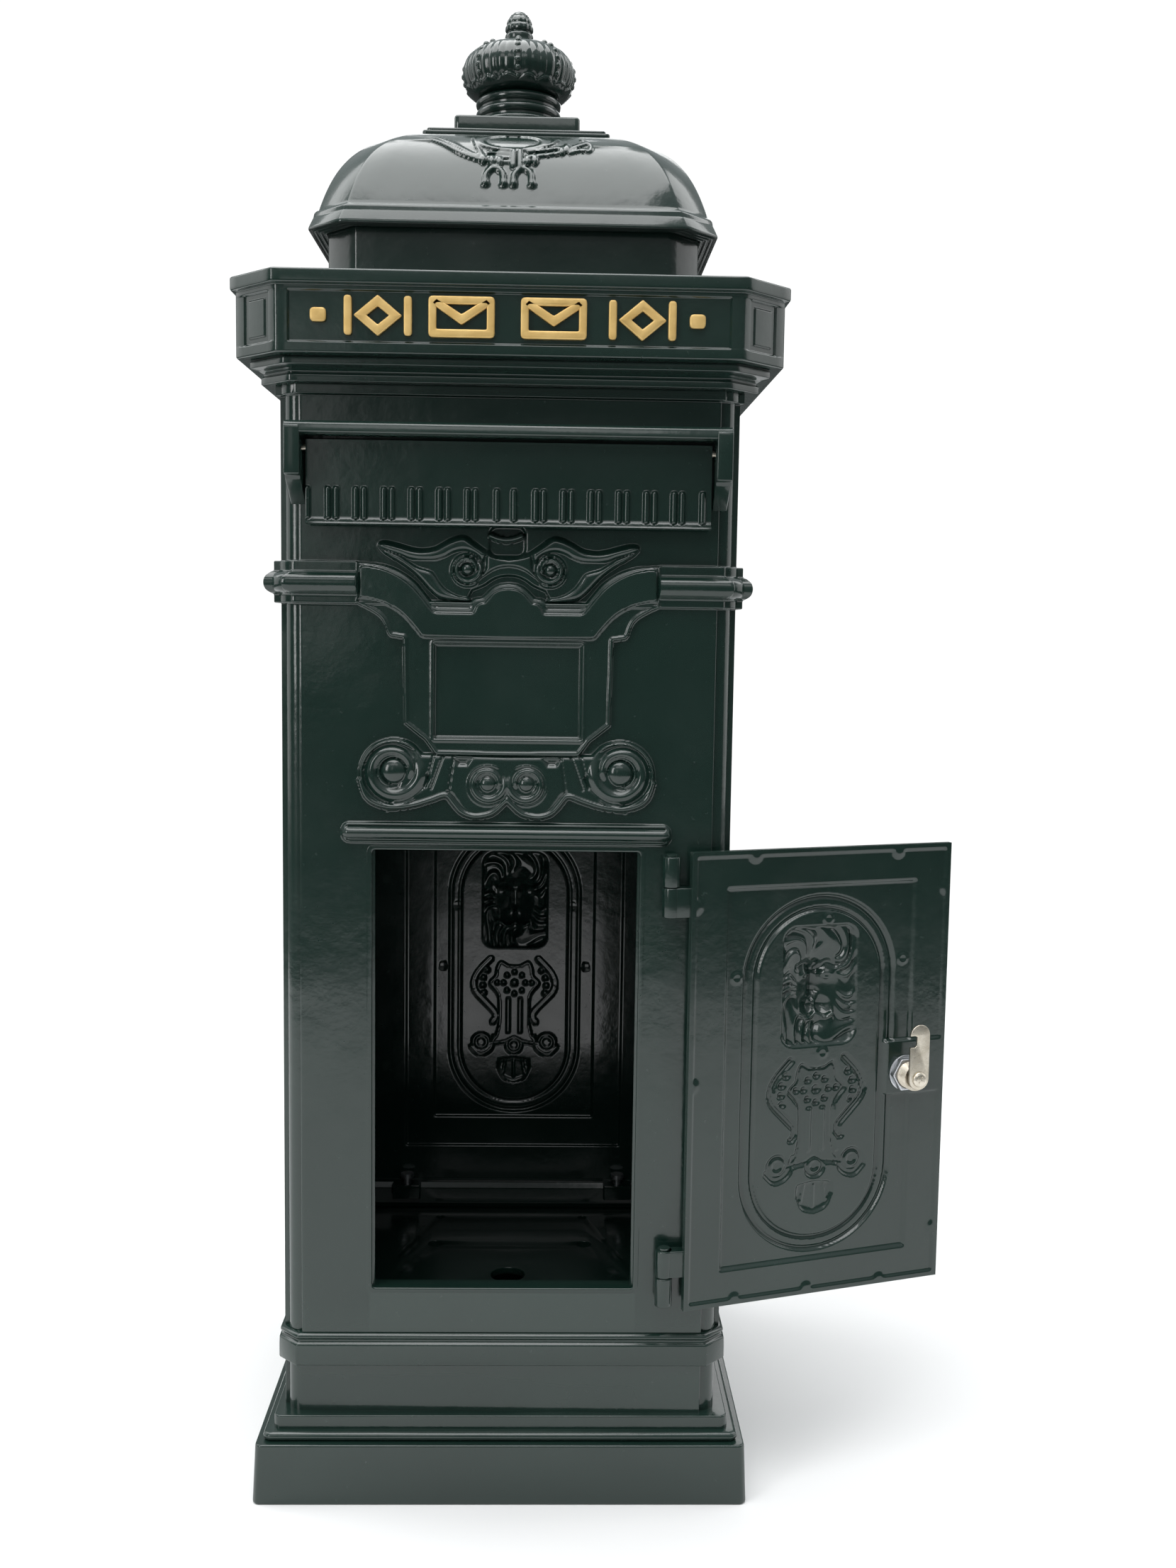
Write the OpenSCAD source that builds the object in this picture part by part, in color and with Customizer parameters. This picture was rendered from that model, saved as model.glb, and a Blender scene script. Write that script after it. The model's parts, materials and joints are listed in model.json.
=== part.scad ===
// Free-standing cast letter box: square pillar, front door, hooded letter flap and domed roof.
// Millimetres. Front faces -Y, +Z is up, and the origin is the middle of the base on the ground.

/* [Body] */
// Half of the body's width and depth, over the flat faces
body_half = 148.5; // [147.5:0.5:149.5]
// Thickness of the cast walls
wall = 4; // [3.5:0.25:4.5]
// Width of the stepped corner, from the flat face's end to the side face
corner_inset = 13.5; // [13:0.25:14]
// Radius of the quarter-round corner column
corner_r = 10.5; // [10:0.25:10.5]
// Height where the body panels stand on the base
body_z = 113; // [112:0.5:114]
// Height where the body panels end under the cornice
body_top = 740; // [738:1:742]

/* [Base] */
// Half width of the plinth
plinth_half = 166.3; // [165:0.5:168]
// Height of the plinth
plinth_h = 41; // [39:1:42]
// Height of the inside floor's top face
floor_z = 90; // [89:0.5:91]
// Distance between neighbouring ground anchor holes
anchor_gap = 120; // [110:5:130]
// Diameter of the ground anchor holes
anchor_d = 12; // [10:0.5:13]

/* [Waist band] */
// Lower edge of the waist band
band_z = 602; // [600:1:603]
// How far the waist band stands out from the body
band_out = 10; // [8:0.5:10.5]

/* [Door] */
// Width of the door opening
open_w = 176; // [172:1:178]
// Height of the door opening
open_h = 298; // [294:1:298]
// Lower edge of the door opening
open_z = 144; // [143:0.5:145]
// Depth of the flange round the opening, from the front face
jamb = 14; // [12:0.5:14]
// Width of the door leaf
door_w = 195; // [194:0.5:195.5]
// Height of the door leaf
door_h = 310; // [308:1:311]
// Lower edge of the door leaf
door_z = 134.5; // [133.5:0.5:135]
// Thickness of the door leaf
door_t = 4.2; // [3.8:0.1:4.4]
// How far the door stands open at rest, in degrees
door_swing = 198.5; // [190:0.5:199]

/* [Hinges] */
// Hinge line, to the right of the centre line
hinge_x = 108; // [107.5:0.25:108.5]
// Hinge line, in front of the body's front face
hinge_out = 9.5; // [9.25:0.25:10]
// Outer diameter of the hinge knuckles
knuckle_d = 11.6; // [11:0.2:12]
// Diameter of the hinge pins
hinge_pin_d = 5; // [4.5:0.25:5.5]
// Gap between a pin and its running bore, on the radius
pin_play = 0.05; // [0.03:0.01:0.08]

/* [Lock] */
// Distance of the lock from the door's hinge edge
lock_in = 165; // [164:0.5:166]
// Height of the lock's axis
lock_z = 284.5; // [280:0.5:288]
// Diameter of the threaded lock barrel
lock_d = 18.6; // [18:0.2:19]
// Length of the cam from its pivot to its tip
cam_l = 38; // [34:1:39]
// Width of the cam
cam_w = 15; // [14:0.5:15.5]

/* [Letter slot] */
// Width of the letter slot
slot_w = 240; // [230:5:242]
// Height of the letter slot
slot_h = 32; // [28:1:33]
// Lower edge of the letter slot
slot_z = 662; // [660:1:663]
// Half width of the flap
flap_half = 128.5; // [127.5:0.5:129]
// Height of the flap's pivot
pivot_z = 699.5; // [699:0.25:700]
// Flap pivot, in front of the body's front face
pivot_out = 9.5; // [9:0.25:10]

/* [Hood] */
// Half width of the hood
hood_half = 140; // [139.5:0.5:141]
// How far the hood stands out from the front face
hood_out = 29; // [27:0.5:30]

/* [Cornice] */
// Half width of the frieze
frieze_half = 174.7; // [174:0.1:176]
// Corner cut of the frieze
frieze_cut = 29.7; // [28:0.1:31]
// Height of the cornice's top rim
cornice_top = 806; // [804:1:807]

/* [Roof] */
// Half width of the roof's rim
rim_half = 134; // [133:0.5:136]
// Lower edge of the roof's rim
rim_z = 844; // [843:0.5:845]
// Height of the dome's flat top
dome_top = 920.5; // [918:0.5:922]

/* [Finial] */
// Half width of the finial's square plinth
finial_half = 43.5; // [42:0.5:45]
// Largest radius of the crown
crown_r = 41; // [39:0.5:42]
// Overall height of the letter box
total_h = 1025; // [1022:1:1028]

/* [Hidden] */
$fn = 64;
GREEN = [0.085, 0.16, 0.14];
GOLD = [0.80, 0.62, 0.30];
NICKEL = [0.76, 0.74, 0.70];
ZINC = [0.66, 0.68, 0.70];

flat_half = body_half - corner_inset;
joint_gap = 0.1;
rib_half = flat_half - 6;
inner_half = body_half - wall;
big = 500;

bead_z = plinth_h;
step_z = bead_z + 6;
lower_z = step_z + 9;
lower_band_z = 91;
lower_band_top = 106;
under_z = plinth_h - 5;
anchor_boss_d = 26;
drain_d = 26;
small_drain = [60, 118];
small_drain_d = 7;
bead_half = 160;
step_half = 153.5;
lower_band_half = 152;
floor_t = 5;

lug_x = 90;
lug_w = 24;
lug_in = 16;
lug_h = 5;
screw_d = 6;
screw_play = 0.1;
corner_screw_d = 5;
corner_screw_x = 137;
corner_screw_zs = [135, 330, 545, 720];

band_h = 27;
arch_half = 96;

hinge_setback = 11;
door_x0 = hinge_x - hinge_setback - door_w;
door_x1 = hinge_x - hinge_setback;
hinge_y = -body_half - hinge_out;
door_back = -body_half - 0.3;
door_face = door_back - door_t;
door_mid = (door_x0 + door_x1) / 2;
field = [141, 260];
field_z = door_z + 24.5;
field_rise = 3;
oval = [114, 247];
oval_z = door_z + 153.5;
oval_band = 11;
oval_rise = 2.5;
mask = [56, 82];
mask_z = door_z + 215;
mask_r = 32;
lock_x = door_x1 - lock_in;
lock_pad_d = 30;
lock_rim_d = 23;
lock_rim_t = 3;
lock_seat = door_face - field_rise;
barrel_end = door_back + 15;
washer_t = 1;
nut_t = 5;
cam_y = door_back + 16.4;
cam_t = 2;
plug_d = 12;
tang = 7;

plaque = [95, 62];
plaque_z = 546;
upper_scroll = [27, 625.5, 11];
big_scroll = [76, 493, 21.5];
small_scroll = [14, 484, 17];
bar_d = 12.6;
bar_l = 214.6;
bar_z = 454;
upper_body_z = [421, 441];
upper_door_z = [401, 420.6];
lower_body_z = [136.8, 156.6];
lower_door_z = [157, 175.4];

pivot_y = -body_half - pivot_out;
flap_t = 3.6;
flap_bottom = 652;
flap_pin_d = 4;
rib_step = 17.6;
hood_under = 706.5;
hood_top = 717;
hood_lip = 713.5;
cheek_front = 681;
cheek_foot = 664;
cheek_w = 10;
hood_screw_l = 14;
flap_lip = 3;
flap_rib = [5.5, 2, 18.5];

cut_screw_z = cornice_top - 4;
plate_half = frieze_half - 2;
// Each row of the cornice's underside: lower edge, upper edge, half width, corner cut
cornice_rows = [[body_top, 747.5, 160, 21], [747.5, 755.5, 167, 25]];
frieze_z = 755.5;
frieze_top = 797;
cornice_bore = 128;
sunk_half = 137;
sunk_z = [762.5, 793.5];
frieze_floor = -frieze_half + 1.5;
emblem_z = 778.5;
emblem_rise = 3;
curb_half = 122;
curb_cut = 20;
curb_top = 852;
dome_steps = 14;
dome_foot = 853;
dome_p0 = [128.5, 856];
dome_p1 = [118, 893];
dome_p2 = [104, 911];
dome_p3 = [64, dome_top];
dome_k = 0.172;
cap_h = 5;
finial_z = dome_top + cap_h;
neck_z = finial_z + 15;
neck_r = 26.5;
ring_r = 3.8;
crown_z = neck_z + 23.5;
stud_d = 8;

// ---------- shared outlines ----------

// Square with stepped corners that hold quarter-round columns, grown outwards
module body_plan(grow = 0) {
    square([2 * (flat_half + grow), 2 * (body_half + grow)], center = true);
    square([2 * (body_half + grow), 2 * (flat_half + grow)], center = true);
    for (sx = [-1, 1], sy = [-1, 1])
        translate([sx * flat_half, sy * flat_half])
            circle(r = corner_r + grow);
}

// Cross-shaped hollow that leaves a solid rib in each corner
module hollow_plan() {
    square([2 * rib_half, 2 * inner_half], center = true);
    square([2 * inner_half, 2 * rib_half], center = true);
}

// Square with 45 degree corner cuts
module cut_square(half, cut) {
    a = half - cut;
    polygon([
        [-a, -half], [a, -half], [half, -a], [half, a],
        [a, half], [-a, half], [-half, a], [-half, -a]
    ]);
}

module round_rect(w, h, r) {
    square([w - 2 * r, h], center = true);
    square([w, h - 2 * r], center = true);
    for (sx = [-1, 1], sy = [-1, 1])
        translate([sx * (w / 2 - r), sy * (h / 2 - r)])
            circle(r = r);
}

// Upright outline with half-round ends
module stadium(w, h) {
    square([w, h - w], center = true);
    for (s = [-1, 1])
        translate([0, s * (h - w) / 2])
            circle(d = w);
}

module slab(z0, z1) {
    translate([0, 0, z0])
        linear_extrude(z1 - z0)
            children();
}

// Raises a flat outline, drawn in X and Z, out of a wall that faces -Y
module raise(face_y, rise, bury = 1) {
    translate([0, face_y + bury, 0])
        rotate([90, 0, 0])
            linear_extrude(rise + bury)
                children();
}

// Runs four times round the body, once for each face
module each_side() {
    for (turn = [0, 90, 180, 270])
        rotate([0, 0, turn])
            children();
}

// ---------- base ----------

module anchor_spots() {
    for (sx = [-1, 1], sy = [-1, 1])
        translate([sx * anchor_gap / 2, sy * anchor_gap / 2, 0])
            children();
}

module base_lugs(z0, z1) {
    each_side()
        for (s = [-1, 1])
            translate([s * lug_x - lug_w / 2, -inner_half - 0.5, z0])
                cube([lug_w, lug_in + 0.5, z1 - z0]);
}

module lug_bores(z0, z1) {
    each_side()
        for (s = [-1, 1])
            translate([s * lug_x, -inner_half + lug_in / 2, z0])
                cylinder(d = screw_d + 2 * screw_play, h = z1 - z0, $fn = 32);
}

module base() {
    color(GREEN)
    difference() {
        union() {
            difference() {
                union() {
                    slab(0, plinth_h) round_rect(2 * plinth_half, 2 * plinth_half, 3);
                    slab(bead_z, step_z) round_rect(2 * bead_half, 2 * bead_half, 4);
                    slab(step_z, lower_z) round_rect(2 * step_half, 2 * step_half, 3);
                    slab(lower_z, lower_band_z) body_plan();
                    slab(lower_band_z, lower_band_top) cut_square(lower_band_half, corner_inset);
                    slab(lower_band_top, body_z) cut_square(lower_band_half - 2, corner_inset - 0.5);
                }
                slab(-1, under_z) square(2 * (plinth_half - 6), center = true);
                slab(under_z - 1, floor_z - floor_t) hollow_plan();
                slab(floor_z, body_z + 1) hollow_plan();
            }
            base_lugs(body_z - 12, body_z);
            anchor_spots()
                cylinder(d = anchor_boss_d, h = floor_z - 1);
        }
        anchor_spots()
            translate([0, 0, -1])
                cylinder(d = anchor_d, h = floor_z + 2);
        translate([0, 0, floor_z - floor_t - 1])
            cylinder(d = drain_d, h = floor_t + 3);
        for (sx = [-1, 1])
            translate([sx * small_drain[0], small_drain[1], floor_z - floor_t - 1])
                cylinder(d = small_drain_d, h = floor_t + 3, $fn = 24);
        lug_bores(body_z - 13, body_z + 1);
    }
}

// ---------- body panels ----------

// One ring of wall between two heights, grown outwards
module wall_ring(z0, z1, grow = 0) {
    slab(z0, z1)
        difference() {
            body_plan(grow);
            hollow_plan();
        }
}

module wall_stack() {
    wall_ring(body_z, body_top);
    wall_ring(body_top - 6, body_top, 2.5);
}

module waist_stack() {
    wall_ring(band_z, band_z + 6, 4);
    wall_ring(band_z + 6, band_z + 20, band_out);
    wall_ring(band_z + 20, band_z + band_h, 4);
}

// Lugs of one face, and the screw holes through them
module panel_lugs(side) {
    for (s = [-1, 1], z = [body_z, body_top - lug_h])
        rotate([0, 0, side])
            translate([s * lug_x - lug_w / 2, -inner_half - 0.5, z])
                cube([lug_w, lug_in + 0.5, lug_h]);
}

module panel_holes() {
    lug_bores(body_z - 1, body_z + lug_h + 1);
    lug_bores(body_top - lug_h - 1, body_top + 1);
    corner_screw_spots()
        translate([0, 0, -14])
            cylinder(d = corner_screw_d + 2 * screw_play, h = 30, $fn = 32);
}

// The places of the corner screws, each with +Z turned into the body, from the joint face
module corner_screw_spots() {
    for (sx = [-1, 1], sy = [-1, 1], z = corner_screw_zs)
        translate([sx * corner_screw_x, sy * flat_half, z])
            rotate([sy * 90, 0, 0])
                translate([0, 0, 6])
                    children();
}

module front_half() {
    translate([-big, -big, 0])
        cube([2 * big, big - flat_half, 2 * big]);
}

module corner_holes(sy) {
    for (sx = [-1, 1], z = corner_screw_zs)
        translate([sx * corner_screw_x, sy * (flat_half - 1), z])
            rotate([sy * -90, 0, 0])
                cylinder(d = corner_screw_d + 2 * screw_play, h = 9, $fn = 32);
}

// Raised volute: a round boss inside a round rim
module volute(x, z, r, rise) {
    raise(-body_half, rise)
        translate([x, z])
            difference() {
                circle(r = r);
                circle(r = r - 5);
            }
    raise(-body_half, rise + 1)
        translate([x, z])
            circle(r = r / 3);
}

// Arch over the name plate, from its middle to one end
function arch_outline() = [
    [0, 612], [12, 610], [19, 604], [23, 597.5], [48, 597.5], [58, 606], [68, 619], [80, 627],
    [97, 628.5], [97, 602], [84, 600], [70, 590], [57, 580], [0, 580]
];

function shield_outline() = [
    [0, 581], [67.5, 581], [67.5, 524], [47, 504.5], [0, 504.5]
];

function wing_outline() = [
    [0, 636], [10, 640], [27, 634], [40, 630], [58, 642], [84.5, 641], [70, 632], [52, 612],
    [36, 602], [22, 605], [10, 618], [0, 622]
];

module both_sides(points) {
    polygon(points);
    mirror([1, 0])
        polygon(points);
}

module front_ornament() {
    raise(-body_half, 6) both_sides(arch_outline());
    raise(-body_half, 3) both_sides(shield_outline());
    raise(-body_half, 3.5) both_sides(wing_outline());
    for (s = [-1, 1]) {
        for (scroll = [upper_scroll, big_scroll, small_scroll])
            volute(s * scroll[0], scroll[1], scroll[2], 5);
        raise(-body_half, 4)
            translate([s * 41, 480])
                square([30, 8], center = true);
    }
    // Bar moulding over the door
    translate([0, -body_half, bar_z])
        rotate([0, 90, 0])
            rotate_extrude()
                intersection() {
                    stadium(bar_d, bar_l);
                    translate([0, -bar_l])
                        square([bar_d, 2 * bar_l]);
                }
    // Finger ledge under the flap
    raise(-body_half, 4)
        translate([-1.5, 643])
            round_rect(25, 5, 2);
}

module hinge_lug(span) {
    translate([hinge_x, hinge_y, span[0]])
        cylinder(d = knuckle_d, h = span[1] - span[0]);
    translate([hinge_x - 5, hinge_y, span[0]])
        cube([10, hinge_out + 1, span[1] - span[0]]);
}

module opening_outline(extra) {
    translate([0, open_z + open_h / 2])
        round_rect(open_w + 2 * extra, open_h + 2 * extra, 2 + extra);
}

module slot_outline(extra) {
    translate([0, slot_z + slot_h / 2])
        round_rect(slot_w + 2 * extra, slot_h + 2 * extra, 3 + extra);
}

module front_panel() {
    color(GREEN)
    difference() {
        union() {
            intersection() {
                wall_stack();
                front_half();
            }
            difference() {
                intersection() {
                    waist_stack();
                    front_half();
                }
                translate([-arch_half, -big, band_z - 1])
                    cube([2 * arch_half, big, band_h + 3]);
            }
            panel_lugs(0);
            front_ornament();
            hinge_lug(upper_body_z);
            hinge_lug(lower_body_z);
            // Flange round the door opening, and rim round the letter slot
            translate([0, -body_half + jamb, 0])
                rotate([90, 0, 0])
                    linear_extrude(jamb - 1)
                        opening_outline(4);
            raise(-body_half, 4) slot_outline(5);
        }
        // Door opening
        raise(-body_half, 40, 40) opening_outline(0);
        // Letter slot
        raise(-body_half, 40, 40) slot_outline(0);
        // Name plate recess in the shield
        raise(-body_half - 1, 10, 0)
            translate([0, plaque_z])
                square(plaque, center = true);
        // Clearance for the door's knuckles
        for (z = [upper_door_z, lower_door_z])
            translate([98.5, -body_half - 0.5, z[0] - 0.4])
                cube([20, 2, z[1] - z[0] + 0.8]);
        // Hinge pin bores
        translate([hinge_x, hinge_y, lower_body_z[0] - 1])
            cylinder(d = hinge_pin_d, h = upper_body_z[1] - lower_body_z[0] + 2);
        panel_holes_front();
        hood_screw_spots()
            translate([0, 0, -10])
                cylinder(d = corner_screw_d + 2 * screw_play, h = 20, $fn = 32);
    }
}

module panel_holes_front() {
    lug_bores(body_z - 1, body_z + lug_h + 1);
    lug_bores(body_top - lug_h - 1, body_top + 1);
    corner_holes(-1);
}

// Outside of a closed-up copy of the door, cast on the back panel
module mock_door() {
    raise(-body_half, 2)
        translate([0, 295])
            round_rect(188, 302, 3);
    raise(-body_half, 4)
        translate([0, 295])
            round_rect(138, 252, 3);
    raise(-body_half, 6)
        translate([0, 295])
            difference() {
                stadium(oval[0], oval[1]);
                stadium(oval[0] - 2 * oval_band, oval[1] - 2 * oval_band);
            }
    raise(-body_half, 7)
        translate([0, 351])
            round_rect(mask[0], mask[1], 10);
    lyre(-body_half - 3, 3, 281);
}

module back_panel() {
    color(GREEN)
    rotate([0, 0, 180])
    difference() {
        union() {
            intersection() {
                union() {
                    wall_stack();
                    waist_stack();
                }
                front_half();
            }
            panel_lugs(0);
            mock_door();
        }
        panel_holes_front();
    }
}

module side_panel() {
    color(GREEN)
    difference() {
        intersection() {
            union() {
                wall_stack();
                waist_stack();
                panel_lugs(90);
            }
            translate([0, -flat_half + joint_gap, 0])
                cube([big, 2 * (flat_half - joint_gap), 2 * big]);
        }
        panel_holes();
    }
}

module right_panel() {
    side_panel();
}

module left_panel() {
    mirror([1, 0, 0])
        side_panel();
}

// ---------- cornice ----------

module cornice() {
    shelf_z = body_top + 8;
    color(GREEN)
    difference() {
        union() {
            for (row = cornice_rows)
                slab(row[0], row[1]) cut_square(row[2], row[3]);
            slab(frieze_z, frieze_top) cut_square(frieze_half, frieze_cut);
            slab(frieze_top, cornice_top) cut_square(frieze_half + 3.3, frieze_cut + 1.3);
        }
        slab(body_top - 1, shelf_z + 1) square(2 * cornice_bore, center = true);
        difference() {
            slab(shelf_z, cornice_top + 1) cut_square(frieze_half - 13, frieze_cut - 4);
            each_side()
                translate([-15, -frieze_half, cut_screw_z - 12])
                    cube([30, 30, 12]);
        }
        slab(cut_screw_z, cornice_top + 1) cut_square(plate_half + 0.2, frieze_cut - 1);
        // Sunk fields on the four faces and the four corner cuts
        each_side() {
            translate([-sunk_half, -frieze_half - 1, sunk_z[0]])
                cube([2 * sunk_half, 2.5, sunk_z[1] - sunk_z[0]]);
            rotate([0, 0, 45])
                translate([-14, -(2 * frieze_half - frieze_cut) / sqrt(2) - 1, sunk_z[0]])
                    cube([28, 2.5, sunk_z[1] - sunk_z[0]]);
        }
        lug_bores(body_top - 1, shelf_z + 1);
        curb_screw_spots()
            translate([0, 0, -11])
                cylinder(d = corner_screw_d + 2 * screw_play, h = 12, $fn = 32);
    }
}

module bar(x, z, w, h) {
    translate([x, z])
        round_rect(w, h, min(w, h) / 2 - 0.01);
}

// Envelope badge: a frame with a folded flap
module envelope(x) {
    translate([x, emblem_z]) {
        difference() {
            round_rect(41, 25, 3);
            round_rect(31, 15, 1);
        }
        for (s = [-1, 1])
            polygon([
                [0, -5], [0, 1], [s * 16, 11], [s * 19, 7]
            ]);
    }
}

// Lozenge badge: a pierced diamond between two short bars
module lozenge(x) {
    translate([x, emblem_z]) {
        difference() {
            polygon([[-15, 0], [0, 12.5], [15, 0], [0, -12.5]]);
            polygon([[-7, 0], [0, 5.5], [7, 0], [0, -5.5]]);
        }
        for (s = [-1, 1])
            bar(s * 18.5, 0, 5, 24);
    }
}

module frieze_emblems() {
    color(GOLD) {
        raise(frieze_floor, emblem_rise, 0) envelope(-30);
        raise(frieze_floor, emblem_rise, 0) envelope(27);
        raise(frieze_floor, emblem_rise, 0) lozenge(-81.6);
        raise(frieze_floor, emblem_rise, 0) lozenge(82);
    }
}

module frieze_studs() {
    color(GOLD)
        for (x = [-118.4, 116.2])
            raise(frieze_floor, emblem_rise, 0)
                translate([x, emblem_z])
                    round_rect(10, 8.5, 2.5);
}

// ---------- roof ----------

module roof_curb() {
    color(GREEN)
    difference() {
        union() {
            slab(cut_screw_z, cornice_top) cut_square(plate_half, frieze_cut - 1);
            slab(cornice_top, cornice_top + 5) cut_square(curb_half + 4, curb_cut + 1.5);
            slab(cornice_top, curb_top) cut_square(curb_half, curb_cut);
        }
        slab(cut_screw_z - 1, curb_top - 5) cut_square(curb_half - 4, curb_cut - 1.5);
        slab(cut_screw_z, curb_top + 1) cut_square(104, 16);
        curb_screw_spots()
            translate([0, 0, -1])
                cylinder(d = corner_screw_d + 2 * screw_play, h = 6, $fn = 32);
        roof_screw_spots()
            cylinder(d = corner_screw_d + 2 * screw_play, h = 20, center = true, $fn = 32);
    }
}

module curb_screw_spots() {
    each_side()
        translate([0, -(frieze_half - 20), cut_screw_z])
            children();
}

module roof_screw_spots() {
    each_side()
        translate([0, -110, curb_top - 5])
            children();
}

function blend4(a, b, c, d, t) =
    pow(1 - t, 3) * a + 3 * pow(1 - t, 2) * t * b + 3 * (1 - t) * t * t * c + t * t * t * d;

// Half profile of the dome, shrunk for its inner face
function dome_half(shrink) = [
    for (i = [0:dome_steps])
        blend4(dome_p0, dome_p1, dome_p2, dome_p3, i / dome_steps) - [shrink, shrink]
];

module dome_section(shrink, wide) {
    half = dome_half(shrink);
    foot = [[dome_p0[0] - shrink, rim_z - 1]];
    right = concat(foot, half);
    left = [for (i = [len(right) - 1:-1:0]) [-right[i][0], right[i][1]]];
    scale([wide, 1])
        polygon(concat(right, left));
}

// One pair of opposite roof faces, as a long vault turned about Z
module dome_vault(turn, shrink, wide) {
    rotate([90, 0, turn])
        linear_extrude(2 * big, center = true)
            dome_section(shrink, wide);
}

module dome_solid(shrink) {
    diagonal = (2 - dome_k) / sqrt(2);
    intersection() {
        dome_vault(0, shrink, 1);
        dome_vault(90, shrink, 1);
        dome_vault(45, shrink, diagonal);
        dome_vault(135, shrink, diagonal);
    }
}

module roof_dome() {
    color(GREEN)
    difference() {
        union() {
            difference() {
                union() {
                    difference() {
                        dome_solid(0);
                        slab(0, dome_foot) square(big, center = true);
                    }
                    slab(rim_z, rim_z + 8.5) cut_square(rim_half, 23);
                    slab(rim_z + 8.5, rim_z + 13) cut_square(rim_half - 3, 22.4);
                }
                dome_solid(4);
            }
            // Lugs that rest on the curb
            intersection() {
                each_side()
                    translate([-14, -129, curb_top])
                        cube([28, 25, 8]);
                dome_solid(2);
            }
        }
        roof_screw_spots()
            cylinder(d = corner_screw_d + 2 * screw_play, h = 11, $fn = 32);
        slab(dome_top - 6, dome_top + 1) circle(d = stud_d + 0.4);
    }
}

module roof_cap() {
    color(GREEN)
    difference() {
        union() {
            slab(dome_top, dome_top + 2.5) round_rect(130, 130, 2);
            slab(dome_top + 2.5, finial_z) round_rect(123, 123, 2);
        }
        slab(dome_top - 1, finial_z + 1) circle(d = stud_d + 0.4);
    }
}

// ---------- finial ----------

module finial_base() {
    color(GREEN)
    difference() {
        union() {
            slab(finial_z, neck_z) round_rect(2 * finial_half, 2 * finial_half, 3);
            rotate_extrude() {
                translate([0, neck_z - 1])
                    square([neck_r, crown_z - neck_z + 1]);
                for (i = [0:2])
                    translate([neck_r, neck_z + 4 + 2 * ring_r * i])
                        circle(r = ring_r);
            }
        }
        slab(finial_z - 1, crown_z + 1) circle(d = stud_d + 0.4);
        // Trims the upper ring level with the crown's seat
        slab(crown_z, crown_z + 10) circle(r = 40);
    }
}

function crown_half() = [
    for (i = [0:8])
        blend4([28, crown_z], [crown_r + 4, crown_z + 2], [crown_r + 4, crown_z + 34], [22, crown_z + 40], i / 8)
];

module crown_finial() {
    tip_z = crown_z + 40;
    color(GREEN)
    difference() {
        rotate_extrude()
            union() {
                polygon(concat([[0, crown_z]], crown_half(), [[0, tip_z]]));
                translate([0, tip_z - 1])
                    square([9, 5]);
                translate([0, tip_z + 3])
                    square([7.5, 4]);
                intersection() {
                    translate([0, total_h - 8])
                        circle(r = 8);
                    translate([0, tip_z])
                        square([20, 60]);
                }
            }
        translate([0, 0, crown_z - 1])
            cylinder(d = stud_d + 0.4, h = 20);
    }
}

module finial_stud() {
    color(ZINC)
        translate([0, 0, dome_top - 14])
            cylinder(d = stud_d, h = crown_z + 18 - dome_top + 14, $fn = 32);
}

module finial_washer() {
    color(ZINC)
        slab(dome_top - 5.6, dome_top - 4)
            difference() {
                circle(d = 18);
                circle(d = stud_d + 0.4);
            }
}

module finial_nut() {
    color(ZINC)
        slab(dome_top - 12.1, dome_top - 5.6)
            difference() {
                circle(d = 15, $fn = 6);
                circle(d = stud_d + 0.1);
            }
}

// ---------- hood and flap ----------

module hood_section() {
    polygon([
        [0, hood_under], [0, hood_top], [hood_out, hood_lip], [hood_out, hood_under]
    ]);
}

module cheek_section() {
    polygon([
        [0, hood_top], [hood_out, hood_lip], [hood_out, cheek_front], [0, cheek_foot]
    ]);
}

// Draws a side outline, measured out from the front face and up, as a solid across X
module across(x0, x1) {
    translate([x0, -body_half - 0.05, 0])
        rotate([90, 0, 90])
            linear_extrude(x1 - x0)
                mirror([1, 0])
                    children();
}

module hood_screw_spots() {
    for (x = [-118, -50, 50, 118])
        translate([x, -body_half + wall, 711])
            rotate([90, 0, 0])
                children();
}

module hood() {
    color(GREEN)
    difference() {
        union() {
            across(-hood_half, hood_half) hood_section();
            for (x = [-hood_half, hood_half - cheek_w])
                across(x, x + cheek_w) cheek_section();
            for (s = [-1, 1])
                translate([s * hood_half, pivot_y, pivot_z])
                    rotate([0, s * 90, 0])
                        cylinder(d = 9, h = 1.5);
        }
        translate([-hood_half - 1, pivot_y, pivot_z])
            rotate([0, 90, 0])
                cylinder(d = flap_pin_d + 0.04, h = 2 * hood_half + 2, $fn = 32);
        hood_screw_spots()
            cylinder(d = corner_screw_d + 2 * screw_play, h = hood_screw_l + 1, $fn = 32);
    }
}

module letter_flap() {
    back = pivot_y + flap_t / 2;
    color(GREEN)
    difference() {
        union() {
            translate([-flap_half, back - flap_t, flap_bottom])
                cube([2 * flap_half, flap_t, pivot_z - flap_bottom]);
            translate([-flap_half, pivot_y, pivot_z])
                rotate([0, 90, 0])
                    cylinder(d = 8.6, h = 2 * flap_half);
            translate([-flap_half, back - flap_t - flap_lip, flap_bottom - 0.5])
                cube([2 * flap_half, flap_t + flap_lip, 4.5]);
            for (i = [-7:7])
                if (i != 0)
                    translate([i * rib_step - flap_rib[0] / 2, back - flap_t - 1.4, flap_bottom + 4.5])
                        cube(flap_rib);
        }
        translate([-flap_half - 1, pivot_y, pivot_z])
            rotate([0, 90, 0])
                cylinder(d = flap_pin_d + 2 * pin_play, h = 2 * flap_half + 2, $fn = 32);
    }
}

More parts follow.
